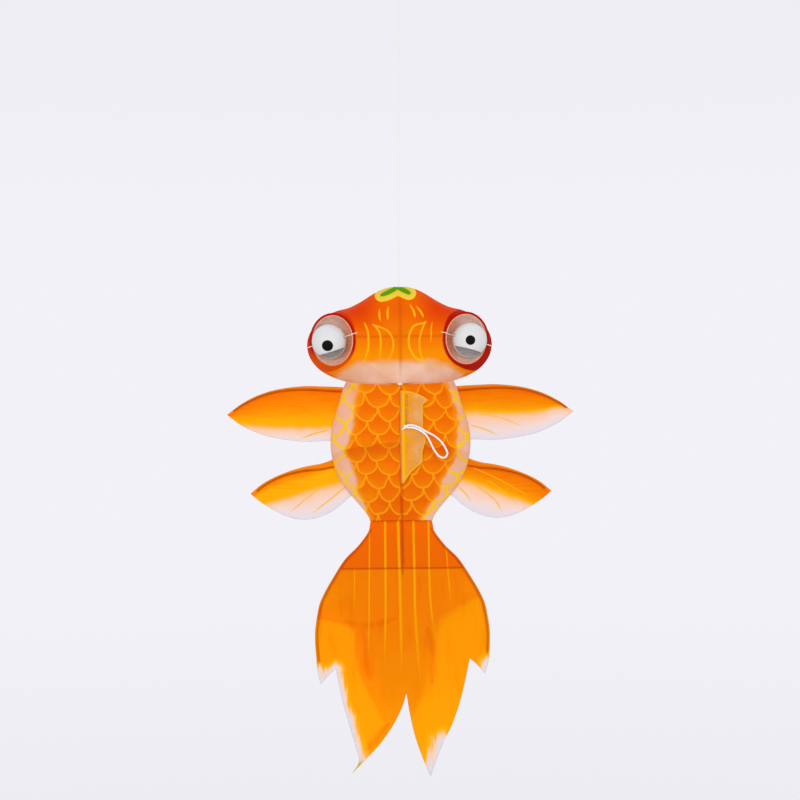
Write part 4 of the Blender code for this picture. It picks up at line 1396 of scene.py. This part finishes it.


# Where a second layer of silk behind the tail lets less light through, painted darker as shade: from this x
# on the left to this on the right.
LAYER_LEFT = [
    (-270, -130), (-370, -130), (-379, -100), (-383, -82), (-388, -66), (-395, -58), (-413, -56),
    (-430, -54),
    (-457, -44), (-480, -33), (-502, -20), (-530, 10),
]
LAYER_RIGHT = [
    (-270, 130), (-345, 118), (-356, 92), (-370, 64), (-385, 47), (-400, 38), (-430, 34), (-460, 33),
    (-480, 22), (-500, 8), (-530, -10),
]
# Painted shade: darker streaks down and across the middle of the tail.
TAIL_SHADE_STREAKS = [
    ([(-48, -392), (-44, -420), (-37, -450)], 11, (0.6, 0.4)),
    ([(-66, -383), (-40, -388), (-8, -380)], 7, (0.4, 0.4)),
    ([(30, -392), (34, -425), (33, -455)], 9, (0.4, 0.4)),
    ([(-16, -500), (-30, -518), (-48, -536)], 8, (0.15, 0.15)),
]


def layered_field(points):
    """How far inside the second layer of silk a point of the tail lies."""
    left = points[:, 0] - at(LAYER_LEFT, points[:, 2])
    right = at(LAYER_RIGHT, points[:, 2]) - points[:, 0]
    return np.minimum(left, right)


def tail_lift(x, z):
    """The tail billows a little, its tips flutter, and the left long tip curls."""
    points = np.stack([x, np.zeros(len(x)), z * 0.55], axis=1)
    free = ease(-z, 330, 520)
    wave = ripple(points, 42, 5.5, 9.0) * free + ripple(points, 16, 0.8, 2.0) * ease(-z, 285, 330)
    curl = -9.0 * ease(-x * 0.55 - z, 540, 590) ** 1.5
    edge = -1.6 * ease(np.abs(x), 60, 100) * ease(-z, 400, 450)
    return wave + curl + edge


def across_tips(made):
    """Bakes the placement of a tail sheet."""
    bend(made)


def tail(paint, under_paint):
    """The long tail in one cloth, and the shorter cloth behind it."""
    fields = {
        "ribs": TAIL_RIBS,
        "shade": tail_shade,
        "fade": tail_fade,
        "layered": layered_field,
        "smudge": TAIL_SHADE_STREAKS,
    }
    half = np.vstack([spaced(UNDER_TAIL), spaced(UNDER_NOTCH)[1:]])
    under_outline = np.vstack([half, (half[:-1] * (-1, 1))[::-1]])

    def under_lift(x, z):
        return UNDER_TAIL_BEHIND + tail_lift(x, z) * 0.6 - 3.0 * ease(-z, 425, 480)

    for name, outline, cloth, lift, stands_for in (
        ("tail_web", tail_outline(), paint, tail_lift, ("tail_silk", "tail_tip_silk")),
        ("under_tail_web", under_outline, under_paint, under_lift, ("under_tail_silk",)),
    ):
        across_tips(panel(
            name, outline, cloth, None, lift, stands_for=stands_for, slot="tail_silk", fields=fields,
        ))


# ---------------------------------------------------------------- frame nodes that stay


def finish_frame_nodes(bamboo, thread):
    """Gives every frame node that no mesh stands for its bamboo or thread."""
    for name, node in frame["nodes"].items():
        if node.hide_render:
            continue
        is_thread = any(word in name for word in ("string", "knot", "thread", "lashing"))
        node.data.materials.clear()
        node.data.materials.append(thread if is_thread else bamboo)
        node.data.shade_smooth()


def throat_knot(cotton):
    """The tied-off end of the bridle thread at the middle of the throat."""
    t = round_angles(40)
    knot = np.stack([2.2 * np.cos(t), -0.5 * np.sin(2 * t), 0.8 * np.sin(t)], axis=1)
    centre = (0.3, float(at(RIDGE, THROAT_Z)) - 1.6, THROAT_Z - 0.6)
    cord("throat_thread_knot", centre + knot, 0.6, 8, cotton, FISH, closed=True, twist=0.3)


# ---------------------------------------------------------------- stage


def backdrop(rings=48, around=96):
    """A pale dome all round the kite, which glows evenly like a softly lit studio."""
    p = Paint("studio_paper")
    p.base((236, 235, 241), (242, 241, 247), p.z.ease(-1500, -500))
    p.coat((239, 238, 244), p.z.ease(200, 900))
    paper = p.close(p.node("Emission", [("Color", p.colour)]).outputs[0])
    turn = round_angles(around)
    rows = []
    for tilt in np.linspace(-math.pi / 2, math.pi / 2, rings):
        flat = DOME_RADIUS * math.cos(tilt)
        level = np.full(around, DOME_RADIUS * math.sin(tilt) + DOME_CENTRE_Z)
        rows.append(np.stack([flat * np.cos(turn), flat * np.sin(turn), level], axis=1))
    finished("studio_dome", np.vstack(rows), grid_faces(rings, around, ring=True), paper, None)


def soft_light(name, place, size, power):
    lamp = bpy.data.lights.new(name, "AREA")
    lamp.size = size
    lamp.energy = power
    made = bpy.data.objects.new(name, lamp)
    made.location = place
    made.visible_camera = False
    made.rotation_euler = (AIM - made.location).to_track_quat("-Z", "Y").to_euler()
    bpy.context.scene.collection.objects.link(made)


def stage(thread):
    """A pale dome, soft light, and the rest of the hanging thread, upright in the rolled picture."""
    backdrop()
    y = joint("thread_swing")[0][1]
    path = [(0, y, THREAD_TOP), (0.02, y, THREAD_TOP + 2), (ROLL * 600, y, THREAD_TOP + 600)]
    verts, faces = tube(path, 0.3, 8)
    finished("studio_thread", verts, faces, thread, None)
    for lamp in LAMPS:
        soft_light(*lamp)


def camera():
    data = bpy.data.cameras.new("camera")
    data.lens = LENS
    data.sensor_width = 36.0
    data.clip_end = 50.0
    made = bpy.data.objects.new("camera", data)
    made.location = CAMERA_PLACE
    made.rotation_euler = (math.radians(90), ROLL, 0)
    bpy.context.scene.collection.objects.link(made)
    bpy.context.scene.camera = made


# ---------------------------------------------------------------- the kite


def kite():
    head = head_paint("head_paint")
    scales = scale_paint("scale_paint")
    pale = pale_paint("pale_silk_paint")
    cotton = thread_paint("white_cotton", (244, 236, 230))
    thread = thread_paint("grey_thread", (232, 224, 214), 0.3)
    white = plastic_paint("white_plastic", (213, 213, 211), (190, 188, 190), 0.35)
    black = plastic_paint("black_plastic", (2, 2, 3), (14, 14, 15), 0.1)
    head_front(head)
    head_belly(pale)
    head_binding(head)
    for side, word in HANDS:
        socket(side, word, socket_paint(f"{word}_socket_paint"))
        eye_stitches(side, word, cotton)
        shell(word, "front", white)
        shell(word, "rear", white)
        pupil(word, black)
    body(scales, pale)
    for side, word in HANDS:
        for level, edges in FINS.items():
            fin(side, f"{word}_{level}", *edges)
    dorsal_fin(dorsal_paint("dorsal_paint"))
    bridle(cotton)
    tail(tail_paint("tail_paint"), tail_paint("under_tail_paint"))
    throat_knot(cotton)
    finish_frame_nodes(bamboo_paint(), thread)
    return thread


bpy.context.scene.view_settings.view_transform = "Standard"
stage(kite())
camera()
